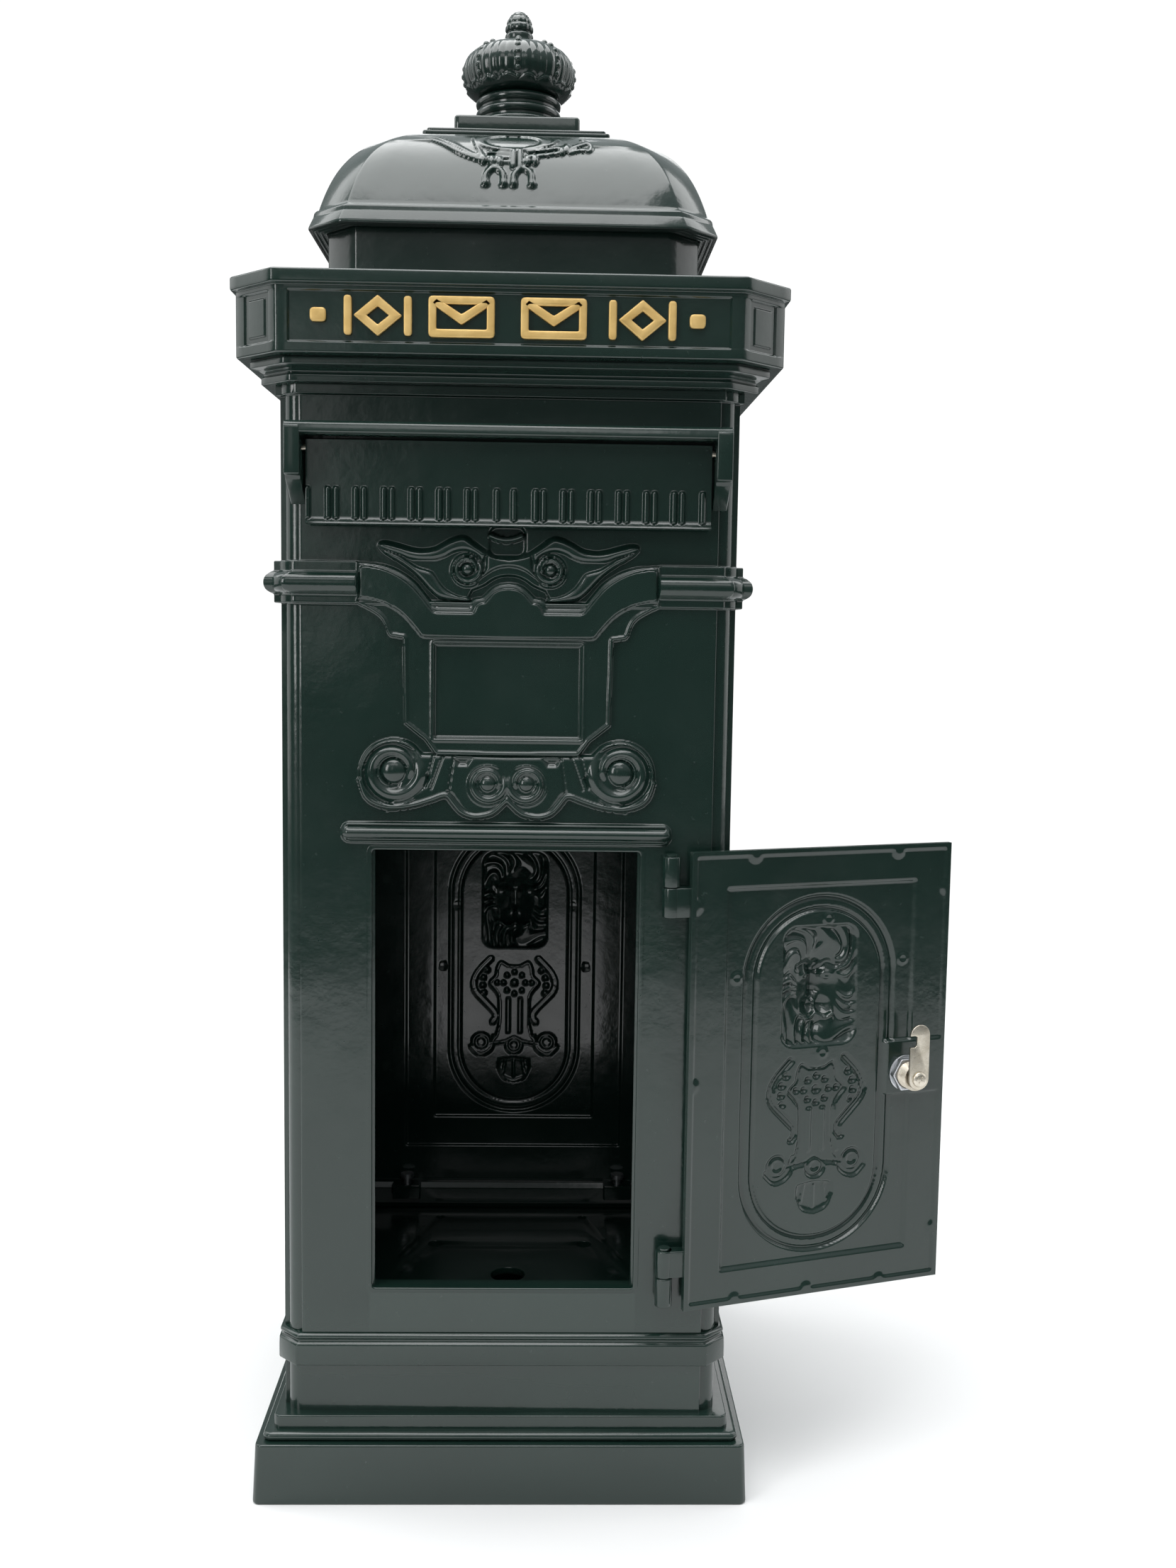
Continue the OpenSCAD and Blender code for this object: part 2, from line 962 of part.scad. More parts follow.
module flap_pin() {
    color(NICKEL)
        translate([flap_half - 14, pivot_y, pivot_z])
            rotate([0, 90, 0])
                cylinder(d = flap_pin_d, h = hood_half - flap_half + 14, $fn = 32);
}

module flap_pin_right() {
    flap_pin();
}

module flap_pin_left() {
    mirror([1, 0, 0])
        flap_pin();
}

// ---------- door ----------

// Drawn shut, then swung open about the hinge line
module on_door() {
    translate([hinge_x, hinge_y, 0])
        rotate([0, 0, door_swing])
            translate([-hinge_x, -hinge_y, 0])
                children();
}

// Lyre ornament: a rosette on a fluted stem with two scroll feet and a drop
module lyre(face_y, rise, z) {
    raise(face_y, rise)
        translate([0, z]) {
            difference() {
                circle(r = 37);
                circle(r = 32);
                translate([-40, -62])
                    square([80, 40]);
                translate([-12, 20])
                    square([24, 20]);
            }
            circle(r = 22);
            translate([-11, -60])
                square([22, 45]);
            for (s = [-1, 1])
                translate([s * 26, -59])
                    circle(r = 9);
            translate([-30, -59])
                square([60, 5]);
            translate([0, -59])
                circle(r = 10);
            translate([0, -85])
                circle(r = 13);
        }
}

module door_arm(span) {
    translate([hinge_x, hinge_y, span[0]])
        cylinder(d = knuckle_d, h = span[1] - span[0]);
    translate([door_x1 - 6, hinge_y - 1, span[0]])
        cube([hinge_x - door_x1 + 6, 9.3, span[1] - span[0]]);
}

module oval_ring() {
    translate([door_mid, oval_z])
        difference() {
            stadium(oval[0], oval[1]);
            stadium(oval[0] - 2 * oval_band, oval[1] - 2 * oval_band);
        }
}

module lock_land() {
    translate([(door_x0 + lock_x + 13) / 2 - 1, lock_z])
        square([lock_x + 13 - door_x0 + 2, 36], center = true);
}

module door() {
    color(GREEN)
    on_door()
    difference() {
        union() {
            translate([door_x0, door_face, door_z])
                cube([door_w, door_t, door_h]);
            raise(door_face, field_rise)
                translate([door_mid, field_z + field[1] / 2])
                    square(field, center = true);
            raise(door_face - field_rise, oval_rise) oval_ring();
            raise(door_face - field_rise, 2)
                translate([door_mid, mask_z])
                    round_rect(mask[0], mask[1], 10);
            intersection() {
                translate([door_mid, door_face + 18, mask_z])
                    sphere(r = mask_r);
                raise(door_face - 1, 30, 0)
                    translate([door_mid, mask_z])
                        square([52, 76], center = true);
            }
            lyre(door_face - field_rise, 2.5, door_z + 142);
            raise(door_face, field_rise)
                translate([lock_x, lock_z])
                    circle(d = lock_pad_d);
            door_arm(upper_door_z);
            door_arm(lower_door_z);
        }
        // Hollow back of the raised field, left solid where the lock is bolted
        difference() {
            raise(door_back, field_rise, 1)
                translate([door_mid, field_z + field[1] / 2])
                    square(field - [8, 8], center = true);
            raise(door_back, field_rise + 1, 2) lock_land();
        }
        difference() {
            raise(door_back, field_rise + oval_rise, 1)
                translate([door_mid, oval_z])
                    difference() {
                        stadium(oval[0] - 5, oval[1] - 5);
                        stadium(oval[0] - 17, oval[1] - 17);
                    }
            raise(door_back, 12, 2) lock_land();
        }
        intersection() {
            translate([door_mid, door_face + 18, mask_z])
                sphere(r = mask_r - 4);
            raise(door_back, 30, 1)
                translate([door_mid, mask_z])
                    square([44, 68], center = true);
        }
        translate([lock_x, door_back + 1, lock_z])
            rotate([90, 0, 0])
                cylinder(d = lock_d + 0.3, h = 12);
        // Flat seat for the lock's rim
        translate([lock_x, lock_seat, lock_z])
            rotate([90, 0, 0])
                cylinder(d = lock_rim_d + 1, h = 6);
        for (z = [upper_door_z, lower_door_z])
            translate([hinge_x, hinge_y, z[0] - 1])
                cylinder(d = hinge_pin_d + 2 * pin_play, h = z[1] - z[0] + 2);
    }
}

module hinge_pin(z0, z1) {
    color(GREEN)
        translate([hinge_x, hinge_y, 0]) {
            slab(z0, z1) circle(d = hinge_pin_d - 0.02);
            slab(z1, z1 + 1.5) circle(d = 7.6);
        }
}

module hinge_pin_upper() {
    hinge_pin(upper_door_z[0], upper_body_z[1]);
}

module hinge_pin_lower() {
    hinge_pin(lower_body_z[0] + 1, lower_door_z[1] + 0.1);
}

// ---------- lock ----------

// Turns a solid drawn up +Z so that it runs into the box from the given depth
module lock_axis(y) {
    translate([lock_x, y, lock_z])
        rotate([-90, 0, 0])
            children();
}

module lock_body() {
    color(NICKEL)
    on_door()
    difference() {
        union() {
            lock_axis(lock_seat - lock_rim_t) cylinder(d = lock_rim_d, h = lock_rim_t);
            lock_axis(lock_seat) cylinder(d = lock_d, h = barrel_end - lock_seat);
        }
        lock_axis(lock_seat - 4) cylinder(d = plug_d + 2 * pin_play, h = 60);
    }
}

module lock_washer() {
    color(ZINC)
    on_door()
    difference() {
        lock_axis(door_back) cylinder(d = 25, h = washer_t);
        lock_axis(door_back - 1) cylinder(d = lock_d + 0.1, h = washer_t + 2);
    }
}

module lock_nut() {
    color(ZINC)
    on_door()
    difference() {
        lock_axis(door_back + washer_t) cylinder(d = 25.4, h = nut_t, $fn = 6);
        lock_axis(door_back) cylinder(d = lock_d + 0.1, h = nut_t + 4);
    }
}

module lock_plug() {
    color(NICKEL)
    on_door()
    difference() {
        union() {
            lock_axis(lock_seat - lock_rim_t) cylinder(d = plug_d, h = cam_y - 0.2 - lock_seat + lock_rim_t);
            translate([lock_x - tang / 2, cam_y - 1, lock_z - tang / 2])
                cube([tang, cam_t + 0.8, tang]);
        }
        // Key slot
        translate([lock_x - 1.2, lock_seat - 4, lock_z - 4])
            cube([2.4, 16, 8]);
        // Thread for the cam's screw
        lock_axis(cam_y - 8) cylinder(d = 4.1, h = 20, $fn = 24);
    }
}

module lock_cam() {
    color(NICKEL)
    on_door()
    difference() {
        translate([0, cam_y + cam_t, 0])
            rotate([90, 0, 0])
                linear_extrude(cam_t)
                    translate([lock_x, lock_z])
                        difference() {
                            union() {
                                circle(d = cam_w);
                                translate([-cam_w / 2, 0])
                                    square([cam_w, cam_l - cam_w / 2]);
                                translate([0, cam_l - cam_w / 2])
                                    circle(d = cam_w);
                            }
                            translate([cam_w / 2 - 5.5, 22.5])
                                square([12, 8]);
                        }
        translate([lock_x - tang / 2 - 0.1, cam_y - 1, lock_z - tang / 2 - 0.1])
            cube([tang + 0.2, cam_t + 2, tang + 0.2]);
    }
}

module cam_screw() {
    color(NICKEL)
    on_door()
    difference() {
        union() {
            lock_axis(cam_y - 6) cylinder(d = 4, h = cam_t + 7, $fn = 24);
            lock_axis(cam_y + cam_t) cylinder(d = 10.5, h = 2.8);
        }
        translate([lock_x, cam_y + cam_t + 2.3, lock_z])
            for (turn = [0, 90])
                rotate([0, turn, 0])
                    cube([5.5, 2, 1.2], center = true);
    }
}

// ---------- screws ----------

// Pan-head screw along +Z with its head's under-face at zero
module screw(d, length) {
    cylinder(d = d, h = length, $fn = 24);
    translate([0, 0, -0.6 * d])
        cylinder(d = 1.8 * d, h = 0.6 * d, $fn = 32);
}

module corner_screws() {
    color(ZINC)
        for (sx = [-1, 1], sy = [-1, 1], z = corner_screw_zs)
            translate([sx * corner_screw_x, sy * rib_half, z])
                rotate([sy * -90, 0, 0])
                    screw(corner_screw_d, 13);
}

module base_screws() {
    color(ZINC)
        each_side()
            for (s = [-1, 1])
                translate([s * lug_x, -inner_half + lug_in / 2, body_z + lug_h])
                    mirror([0, 0, 1])
                        screw(screw_d, 16);
}

module cornice_screws() {
    color(ZINC)
        each_side()
            for (s = [-1, 1])
                translate([s * lug_x, -inner_half + lug_in / 2, body_top - lug_h])
                    screw(screw_d, 12);
}

module curb_screws() {
    color(GREEN)
        curb_screw_spots()
            translate([0, 0, 4])
                mirror([0, 0, 1])
                    screw(corner_screw_d, 14);
}

module roof_screws() {
    color(ZINC)
        roof_screw_spots()
            screw(corner_screw_d, 10);
}

module hood_screws() {
    color(ZINC)
        hood_screw_spots()
            screw(corner_screw_d, hood_screw_l);
}

base();
front_panel();
back_panel();
left_panel();
right_panel();
cornice();
frieze_emblems();
frieze_studs();
roof_curb();
roof_dome();
roof_cap();
finial_base();
crown_finial();
finial_stud();
finial_nut();
finial_washer();
hood();
letter_flap();
flap_pin_left();
flap_pin_right();
door();
hinge_pin_upper();
hinge_pin_lower();
lock_body();
lock_washer();
lock_nut();
lock_plug();
lock_cam();
cam_screw();
corner_screws();
base_screws();
cornice_screws();
curb_screws();
roof_screws();
hood_screws();
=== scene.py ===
"""Looks of a free-standing cast letter box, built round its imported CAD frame.

Shapes are worked out in millimetres in the row frame: front towards -Y, +Z up, origin on the ground.
"""

import json
import math
from functools import reduce

import bmesh
import bpy
import numpy as np
from mathutils import Matrix, Vector


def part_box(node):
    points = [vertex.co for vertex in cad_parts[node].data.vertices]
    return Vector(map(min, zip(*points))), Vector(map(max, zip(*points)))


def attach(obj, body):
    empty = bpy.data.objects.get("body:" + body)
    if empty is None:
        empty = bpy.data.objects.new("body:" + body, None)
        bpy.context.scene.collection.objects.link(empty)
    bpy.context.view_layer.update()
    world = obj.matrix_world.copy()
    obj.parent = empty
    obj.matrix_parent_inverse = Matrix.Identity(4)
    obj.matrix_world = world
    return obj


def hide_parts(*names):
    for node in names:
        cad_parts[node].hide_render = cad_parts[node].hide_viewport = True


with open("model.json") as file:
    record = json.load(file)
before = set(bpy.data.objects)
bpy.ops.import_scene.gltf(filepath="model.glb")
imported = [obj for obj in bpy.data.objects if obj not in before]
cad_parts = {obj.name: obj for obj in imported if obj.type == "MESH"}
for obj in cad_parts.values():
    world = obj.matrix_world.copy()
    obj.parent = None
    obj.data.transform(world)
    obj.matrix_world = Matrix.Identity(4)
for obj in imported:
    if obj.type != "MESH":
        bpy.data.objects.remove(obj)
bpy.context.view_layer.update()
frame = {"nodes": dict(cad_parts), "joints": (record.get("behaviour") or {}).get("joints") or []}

MM = 0.001


def span(node):
    """A CAD node's lowest and highest corner, in millimetres."""
    low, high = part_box(node)
    return np.array(low) / MM, np.array(high) / MM


# ---------- driving sizes, from the frame ----------

SIDE_HI = span("right_panel")[1]
BODY = 148.5                                  # half width over the flat faces
FLAT = SIDE_HI[1] + 0.1                       # half width of one flat face
COLUMN = BODY - FLAT - 3.0                    # radius of the corner columns
WALL = 4.0
BODY_Z = span("front_panel")[0][2]
BODY_TOP = span("front_panel")[1][2]
BASE_HALF = span("base")[1][0]
DOOR_JOINT = next(j for j in frame["joints"] if j["name"] == "door_hinge")
HINGE = np.array(DOOR_JOINT["pos_m"]) / MM
DOOR_OPEN = math.radians(-DOOR_JOINT["range_deg"][0])
DOOR_Z = span("door")[0][2]
DOOR_H = span("door")[1][2] - DOOR_Z
DOOR_W = 195.0
DOOR_RIGHT = HINGE[0] - 11.0                  # the leaf's hinge edge, drawn shut
DOOR_BACK = -BODY - 0.3
DOOR_T = 4.2
FIELD_RISE = 3.0
CROWN_Z = span("crown_finial")[0][2]
TOP_Z = span("crown_finial")[1][2]


# ---------- mesh tools ----------

RELIEFS = ("front_casting", "back_casting", "door_casting", "flap_casting", "dome_casting", "crown_casting")
RELIEF_ANGLE, PLAIN_ANGLE = 74.0, 38.0        # edges that turn by more degrees than this are sharp


def link_object(name, data):
    """Puts a mesh, curve, camera or light in the scene."""
    obj = bpy.data.objects.new(name, data)
    bpy.context.scene.collection.objects.link(obj)
    return obj


def finish_mesh(name, bm, material):
    """Turns a bmesh in millimetres into a smooth-shaded object in metres."""
    angle = RELIEF_ANGLE if name in RELIEFS else PLAIN_ANGLE
    bmesh.ops.recalc_face_normals(bm, faces=bm.faces)
    bmesh.ops.scale(bm, vec=(MM, MM, MM), verts=bm.verts)
    mesh = bpy.data.meshes.new(name)
    bm.to_mesh(mesh)
    bm.free()
    mesh.shade_smooth()
    mesh.set_sharp_from_angle(angle=math.radians(angle))
    mesh.materials.append(material)
    return link_object(name, mesh)


def sheet_of(bm, outer, inner, keep=None, wrap=False, edge=0.0):
    """Adds a closed thick sheet between two grids of points. keep says which cells are there.

    edge is the width of the bevel along the sheet's rim and round its openings.
    """
    rows, cols = outer.shape[:2]
    points = np.concatenate([outer.reshape(-1, 3), inner.reshape(-1, 3)])
    index = np.arange(rows * cols).reshape(rows, cols)
    if wrap:
        index = np.concatenate([index, index[:, :1]], axis=1)
    if keep is None:
        keep = np.ones((rows - 1, index.shape[1] - 1), bool)
    far = rows * cols
    a, b, c, d = index[:-1, :-1][keep], index[:-1, 1:][keep], index[1:, 1:][keep], index[1:, :-1][keep]
    quads = [np.stack([a, b, c, d], 1), np.stack([d, c, b, a], 1) + far]
    rim = len(a) * 2
    tall = np.pad(keep, ((1, 1), (0, 0)))
    low, high = tall[:-1], tall[1:]
    edge_rows = [(index[:, :-1], index[:, 1:], high & ~low), (index[:, 1:], index[:, :-1], low & ~high)]
    wide = np.concatenate([keep[:, -1:], keep, keep[:, :1]], axis=1) if wrap else np.pad(keep, ((0, 0), (1, 1)))
    left, right = wide[:, :-1], wide[:, 1:]
    if wrap:
        right = right.copy()
        right[:, -1] = left[:, -1]
        left = left.copy()
        left[:, 0] = right[:, 0]
    edge_rows += [(index[1:], index[:-1], right & ~left), (index[:-1], index[1:], left & ~right)]
    for p, q, mask in edge_rows:
        p, q = p[mask], q[mask]
        quads.append(np.stack([q, p, p + far, q + far], 1))
    quads = np.concatenate(quads)
    used = np.unique(quads)
    renumber = np.zeros(len(points), int)
    renumber[used] = np.arange(len(used))
    verts = [bm.verts.new(p) for p in points[used].tolist()]
    faces = [bm.faces.new([verts[k] for k in quad]) for quad in renumber[quads].tolist()]
    if edge:
        sharp = {e for f in faces[rim:] for e in f.edges if e.calc_face_angle(0) > 0.9}
        bmesh.ops.bevel(bm, geom=list(sharp), offset=edge, segments=2, profile=0.5,
                        affect="EDGES", clamp_overlap=True)


def round_corner(before, here, after, radius, steps):
    """A short curve that takes off a corner. The first two columns of a point are lengths."""
    ends = []
    for other in (before, after):
        length = np.hypot(*(other - here)[:2])
        ends.append(here + (other - here) * min(0.45, radius / max(length, 1e-6)))
    return [(1 - t) ** 2 * ends[0] + 2 * t * (1 - t) * here + t ** 2 * ends[1] for t in np.linspace(0, 1, steps + 1)]


def soften(profile, radius, steps=3):
    """An open profile of rows with its corners rounded."""
    profile = np.array(profile, float)
    out = [profile[0]]
    for before, here, after in zip(profile, profile[1:], profile[2:]):
        out += round_corner(before, here, after, radius, steps)
    return np.array([*out, profile[-1]])


def outlined(points, corner=0.0, steps=4):
    """A closed outline with each corner rounded."""
    points = np.array(points, float)
    if not corner:
        return points
    out = []
    for k, here in enumerate(points):
        out += round_corner(points[k - 1], here, points[(k + 1) % len(points)], corner, steps)
    return np.array(out)


def circle(x, z, r, count=48):
    a = np.linspace(0, 2 * math.pi, count, endpoint=False)
    return np.stack([x + r * np.cos(a), z + r * np.sin(a)], 1)


def rectangle(x, z, w, h, r=0.0):
    corners = [(x - w / 2, z - h / 2), (x + w / 2, z - h / 2), (x + w / 2, z + h / 2), (x - w / 2, z + h / 2)]
    return outlined(corners, r)


def plate(bm, outlines, thick, place=Matrix.Identity(4), bevel=0.4):
    """Adds a flat plate with holes and bevelled edges. It is drawn in X and Y and centred in Z."""
    shape = bpy.data.curves.new("outline", "CURVE")
    shape.dimensions = "2D"
    shape.fill_mode = "BOTH"
    shape.extrude = thick / 2 - bevel
    shape.bevel_depth = bevel
    shape.bevel_resolution = 2
    shape.offset = -bevel
    for outline in outlines:
        spline = shape.splines.new("POLY")
        spline.points.add(len(outline) - 1)
        spline.use_cyclic_u = True
        for point, (x, y) in zip(spline.points, outline):
            point.co = (x, y, 0, 1)
    holder = link_object("outline", shape)
    bpy.context.view_layer.update()
    mesh = bpy.data.meshes.new_from_object(holder.evaluated_get(bpy.context.evaluated_depsgraph_get()))
    bpy.data.objects.remove(holder)
    bpy.data.curves.remove(shape)
    mesh.transform(place)
    bm.from_mesh(mesh)
    bpy.data.meshes.remove(mesh)
    bmesh.ops.remove_doubles(bm, verts=bm.verts, dist=0.002)


def lifted(z, x=0.0, y=0.0):
    return Matrix.Translation((x, y, z))


def facing_front(y, x=0.0, z=0.0):
    """Turns X and Y of an outline into X and Z of a plane that faces -Y."""
    return Matrix.Translation((x, y, z)) @ Matrix.Rotation(math.pi / 2, 4, "X")


def turned(bm, profile, x=0.0, y=0.0, count=96, shape=None, place=Matrix.Identity(4)):
    """Adds a closed turned solid. profile rows are radius and height; shape changes a radius by its angle."""
    angles = np.linspace(0, 2 * math.pi, count, endpoint=False)
    rings = []
    for r, z in profile:
        radii = np.full(count, max(r, 0.01))
        if shape:
            radii = shape(angles, radii, z)
        ring = [(x + q * math.cos(a), y + q * math.sin(a), z) for q, a in zip(radii, angles)]
        rings.append([bm.verts.new(place @ Vector(p)) for p in ring])
    for low, high in zip(rings, rings[1:]):
        for k in range(count):
            bm.faces.new([low[k], low[(k + 1) % count], high[(k + 1) % count], high[k]])
    bm.faces.new(rings[0][::-1])
    bm.faces.new(rings[-1])


def ball(bm, centre, radius):
    bmesh.ops.create_icosphere(bm, subdivisions=2, radius=radius, matrix=Matrix.Translation(centre))


# ---------- relief tools: heights over a plane, with X across and Z up ----------

def smooth(t):
    t = np.clip(t, 0, 1)
    return t * t * (3 - 2 * t)


def highest(*heights):
    return reduce(np.maximum, heights)


def only_where(mask, shape, x, z):
    """Heights of a shape, worked out only where the mask is set."""
    h = np.zeros_like(x)
    h[mask] = shape(x[mask], z[mask])
    return h


def bezier(t, p0, p1, p2, p3):
    return (1 - t) ** 3 * p0 + 3 * t * (1 - t) ** 2 * p1 + 3 * t * t * (1 - t) * p2 + t ** 3 * p3


def curve(points, steps=8):
    """A smooth line through a few points."""
    p = np.array([points[0], *points, points[-1]], float)
    out = []
    for a, b, c, d in zip(p, p[1:], p[2:], p[3:]):
        for t in np.linspace(0, 1, steps, endpoint=False):
            out.append(0.5 * (2 * b + (c - a) * t + (2 * a - 5 * b + 4 * c - d) * t * t
                              + (3 * b - a - 3 * c + d) * t ** 3))
    out.append(p[-1])
    return np.array(out)


def mirrored(points):
    """An outline's left half, from top middle to bottom middle, closed with its mirror image."""
    points = np.array(points, float)
    return np.concatenate([points, (points * [-1, 1])[::-1]])


def line_distance(x, z, points):
    """Distance to a polyline."""
    best = np.full(x.shape, 1e9)
    for (x0, z0), (x1, z1) in zip(points[:-1], points[1:]):
        dx, dz = x1 - x0, z1 - z0
        t = np.clip(((x - x0) * dx + (z - z0) * dz) / max(dx * dx + dz * dz, 1e-9), 0, 1)
        best = np.minimum(best, np.hypot(x - x0 - t * dx, z - z0 - t * dz))
    return best


def region(x, z, points):
    """Signed distance to a closed outline, negative inside."""
    points = np.array(points, float)
    loop = np.concatenate([points, points[:1]])
    inside = np.zeros(x.shape, bool)
    for (x0, z0), (x1, z1) in zip(loop[:-1], loop[1:]):
        if z0 == z1:
            continue
        crosses = ((z0 > z) != (z1 > z)) & (x < (x1 - x0) * (z - z0) / (z1 - z0) + x0)
        inside ^= crosses
    return np.where(inside, -1, 1) * line_distance(x, z, loop)


def rounded_box(x, z, cx, cz, w, h, r):
    """Signed distance to a rectangle with round corners."""
    qx = np.abs(x - cx) - (w / 2 - r)
    qz = np.abs(z - cz) - (h / 2 - r)
    return np.hypot(np.maximum(qx, 0), np.maximum(qz, 0)) + np.minimum(np.maximum(qx, qz), 0) - r


def terrace(sd, height, slope=1.6):
    """A flat raised area with a steep edge of the given width."""
    return height * smooth(0.5 - sd / slope)


def pillow(sd, height, reach):
    """A raised area that rounds over from its edge to the given reach."""
    t = np.clip(-sd / reach, 0, 1)
    return height * np.sqrt(1 - (1 - t) ** 2)


def bead(distance, half, height):
    """A half-round bead along a line."""
    return height * np.sqrt(np.clip(1 - (distance / half) ** 2, 0, 1))


def cord(x, z, points, half, height):
    """A bead along a polyline."""
    return bead(line_distance(x, z, points), half, height)


def knob(x, z, cx, cz, r, height):
    """A round boss."""
    return bead(np.hypot(x - cx, z - cz), r, height)


def swell(distance, half, height):
    """A soft mound that runs out flat at its foot."""
    return height * np.cos(np.clip(distance / half, -1, 1) * math.pi / 2) ** 2


def volute(x, z, cx, cz, r, height):
    """A scroll that winds out from its right side: a ball for its eye, a thin ridge, a rounded coil and a rim."""
    dx, dz = x - cx, z - cz
    rho = np.hypot(dx, dz)
    up = dz / np.maximum(rho, 1e-6)
    across = dx / np.maximum(rho, 1e-6)
    turn = (np.arctan2(dz, dx) / (2 * math.pi)) % 1
    bed = height * 0.40 * smooth((r * (1.13 - 0.08 * up) - rho) / 2.4)
    coil = np.zeros_like(rho)
    for t in (turn - 1, turn, turn + 1):
        crest, half = r * (0.56 + 0.28 * t), r * (0.18 + 0.11 * t)
        hump = np.cos(np.clip((rho - crest) / np.maximum(half, 0.1), -1, 1) * math.pi / 2) ** 1.3
        coil = np.maximum(coil, hump * height * 0.55 * smooth((t + 0.14) / 0.16) * smooth((1.16 - t) / 0.2))
    eye = bead(rho, r * 0.40, 0.35 * height + r * 0.12)
    ridge = bead(rho - r * (0.455 + 0.06 * turn), 0.035 * r + 0.35, height * 0.34) * smooth((0.8 - turn) * 5)
    rim = bead(rho - r * (1.05 - 0.08 * up), 1.5, height * 0.42) * smooth((0.8 - across) / 0.3)
    return bed + np.maximum(np.maximum(coil, ridge), np.maximum(eye, rim))


# ---------- materials ----------

def fill_ramp(ramp, stops):
    """Sets a colour ramp's stops, each a position and a colour."""
    while len(ramp.elements) < len(stops):
        ramp.elements.new(0.5)
    for element, (position, colour) in zip(ramp.elements, stops):
        element.position = position
        element.color = (*colour, 1)


class Nodes:
    """Short names for building a node material."""

    def __init__(self, name):
        self.material = bpy.data.materials.new(name)
        self.material.use_nodes = True
        self.tree = self.material.node_tree
        self.shader = self.tree.nodes["Principled BSDF"]
        self.place = self.add("ShaderNodeTexCoord").outputs["Object"]

    def add(self, kind, inputs=(), **values):
        node = self.tree.nodes.new(kind)
        for key, value in values.items():
            setattr(node, key, value)
        for key, value in dict(inputs).items():
            self.feed(node.inputs[key], value)
        return node

    def feed(self, socket, value):
        """Links a socket to another node's output, or sets its value."""
        if hasattr(value, "is_output"):
            self.tree.links.new(value, socket)
        else:
            socket.default_value = value

    def noise(self, scale, detail=3.0, rough=0.55):
        values = {"Scale": scale, "Detail": detail, "Roughness": rough, "Vector": self.place}
        return self.add("ShaderNodeTexNoise", values).outputs["Fac"]

    def ramp(self, source, stops):
        node = self.add("ShaderNodeValToRGB", {"Fac": source})
        fill_ramp(node.color_ramp, stops)
        return node.outputs["Color"]

    def remap(self, source, low, high, new_low, new_high):
        values = {"From Min": low, "From Max": high, "To Min": new_low, "To Max": new_high, "Value": source}
        return self.add("ShaderNodeMapRange", values).outputs["Result"]

    def mix(self, factor, first, colour):
        node = self.add("ShaderNodeMix", {0: factor, 6: first, 7: (*colour, 1)}, data_type="RGBA")
        return node.outputs[2]

    def bump(self, height, strength, distance, under=None):
        values = {"Strength": strength, "Distance": distance, "Height": height}
        if under:
            values["Normal"] = under
        return self.add("ShaderNodeBump", values).outputs["Normal"]

    def set(self, **values):
        for key, value in values.items():
            self.feed(self.shader.inputs[key.replace("_", " ")], value)
        return self.material


def green_coat():
    """Thick dark green gloss coat over cast metal: orange peel, faint casting ripple and a painted highlight that makes
    sharp edges paler.
    """
    n = Nodes("green_coat")
    tone = n.ramp(n.noise(9.0, 4.0), [(0.3, (0.0062, 0.0180, 0.0140)), (0.7, (0.0088, 0.0232, 0.0182))])
    # Painted highlight: sharp outer edges, found by pointiness, are mixed towards a paler green
    edge = n.add("ShaderNodeNewGeometry").outputs["Pointiness"]
    edge_highlight = n.remap(edge, 0.54, 0.66, 0.0, 0.35)
    tone = n.mix(edge_highlight, tone, (0.045, 0.070, 0.060))
    dust = n.remap(n.noise(260.0, 2.0, 0.7), 0.70, 0.78, 0.0, 0.25)
    tone = n.mix(dust, tone, (0.075, 0.090, 0.085))
    peel = n.bump(n.noise(520.0, 2.0), 0.10, 0.0004)
    ripple = n.bump(n.noise(38.0, 3.0), 0.16, 0.0030, peel)
    rough = n.remap(n.noise(24.0, 4.0), 0.3, 0.7, 0.13, 0.24)
    return n.set(Base_Color=tone, Roughness=rough, Normal=ripple, IOR=1.50, Coat_Weight=0.3, Coat_Roughness=0.07)


def gold_paint():
    """Brushed-on gold paint with painted shade, a slightly darker tone, in its hollows."""
    n = Nodes("gold_paint")
    tone = n.ramp(n.noise(90.0, 4.0), [(0.3, (0.62, 0.40, 0.13)), (0.7, (0.78, 0.54, 0.21))])
    # Painted shade: concave spots, found by pointiness, are mixed towards a darker gold
    hollow = n.remap(n.add("ShaderNodeNewGeometry").outputs["Pointiness"], 0.40, 0.50, 0.7, 0.0)
    tone = n.mix(hollow, tone, (0.34, 0.21, 0.07))
    brush = n.bump(n.noise(700.0, 3.0), 0.15, 0.0003)
    rough = n.remap(n.noise(150.0), 0.3, 0.7, 0.34, 0.50)
    return n.set(Base_Color=tone, Roughness=rough, Normal=brush, Metallic=0.40, IOR=1.50)


def metal(name, dark, light, low, high, scratch):
    """Plated metal with fine scratches along one direction and patches of duller plating."""
    n = Nodes(name)
    tone = n.ramp(n.noise(140.0, 4.0), [(0.3, dark), (0.7, light)])
    stretch = n.add("ShaderNodeMapping", {"Scale": (1.0, 1.0, 14.0), "Vector": n.place})
    values = {"Scale": 420.0, "Vector": stretch.outputs["Vector"]}
    lines = n.add("ShaderNodeTexNoise", values).outputs["Fac"]
    rough = n.remap(lines, 0.3, 0.7, low, high)
    return n.set(Base_Color=tone, Roughness=rough, Normal=n.bump(lines, scratch, 0.0002), Metallic=1.0)


FINISHES = {
    "green_coat": green_coat(),
    "gold_paint": gold_paint(),
    "nickel": metal("nickel", (0.52, 0.47, 0.38), (0.70, 0.65, 0.56), 0.24, 0.42, 0.12),
    "zinc": metal("zinc", (0.48, 0.50, 0.52), (0.66, 0.67, 0.69), 0.30, 0.48, 0.15),
}


# ---------- octagonal and square castings ----------

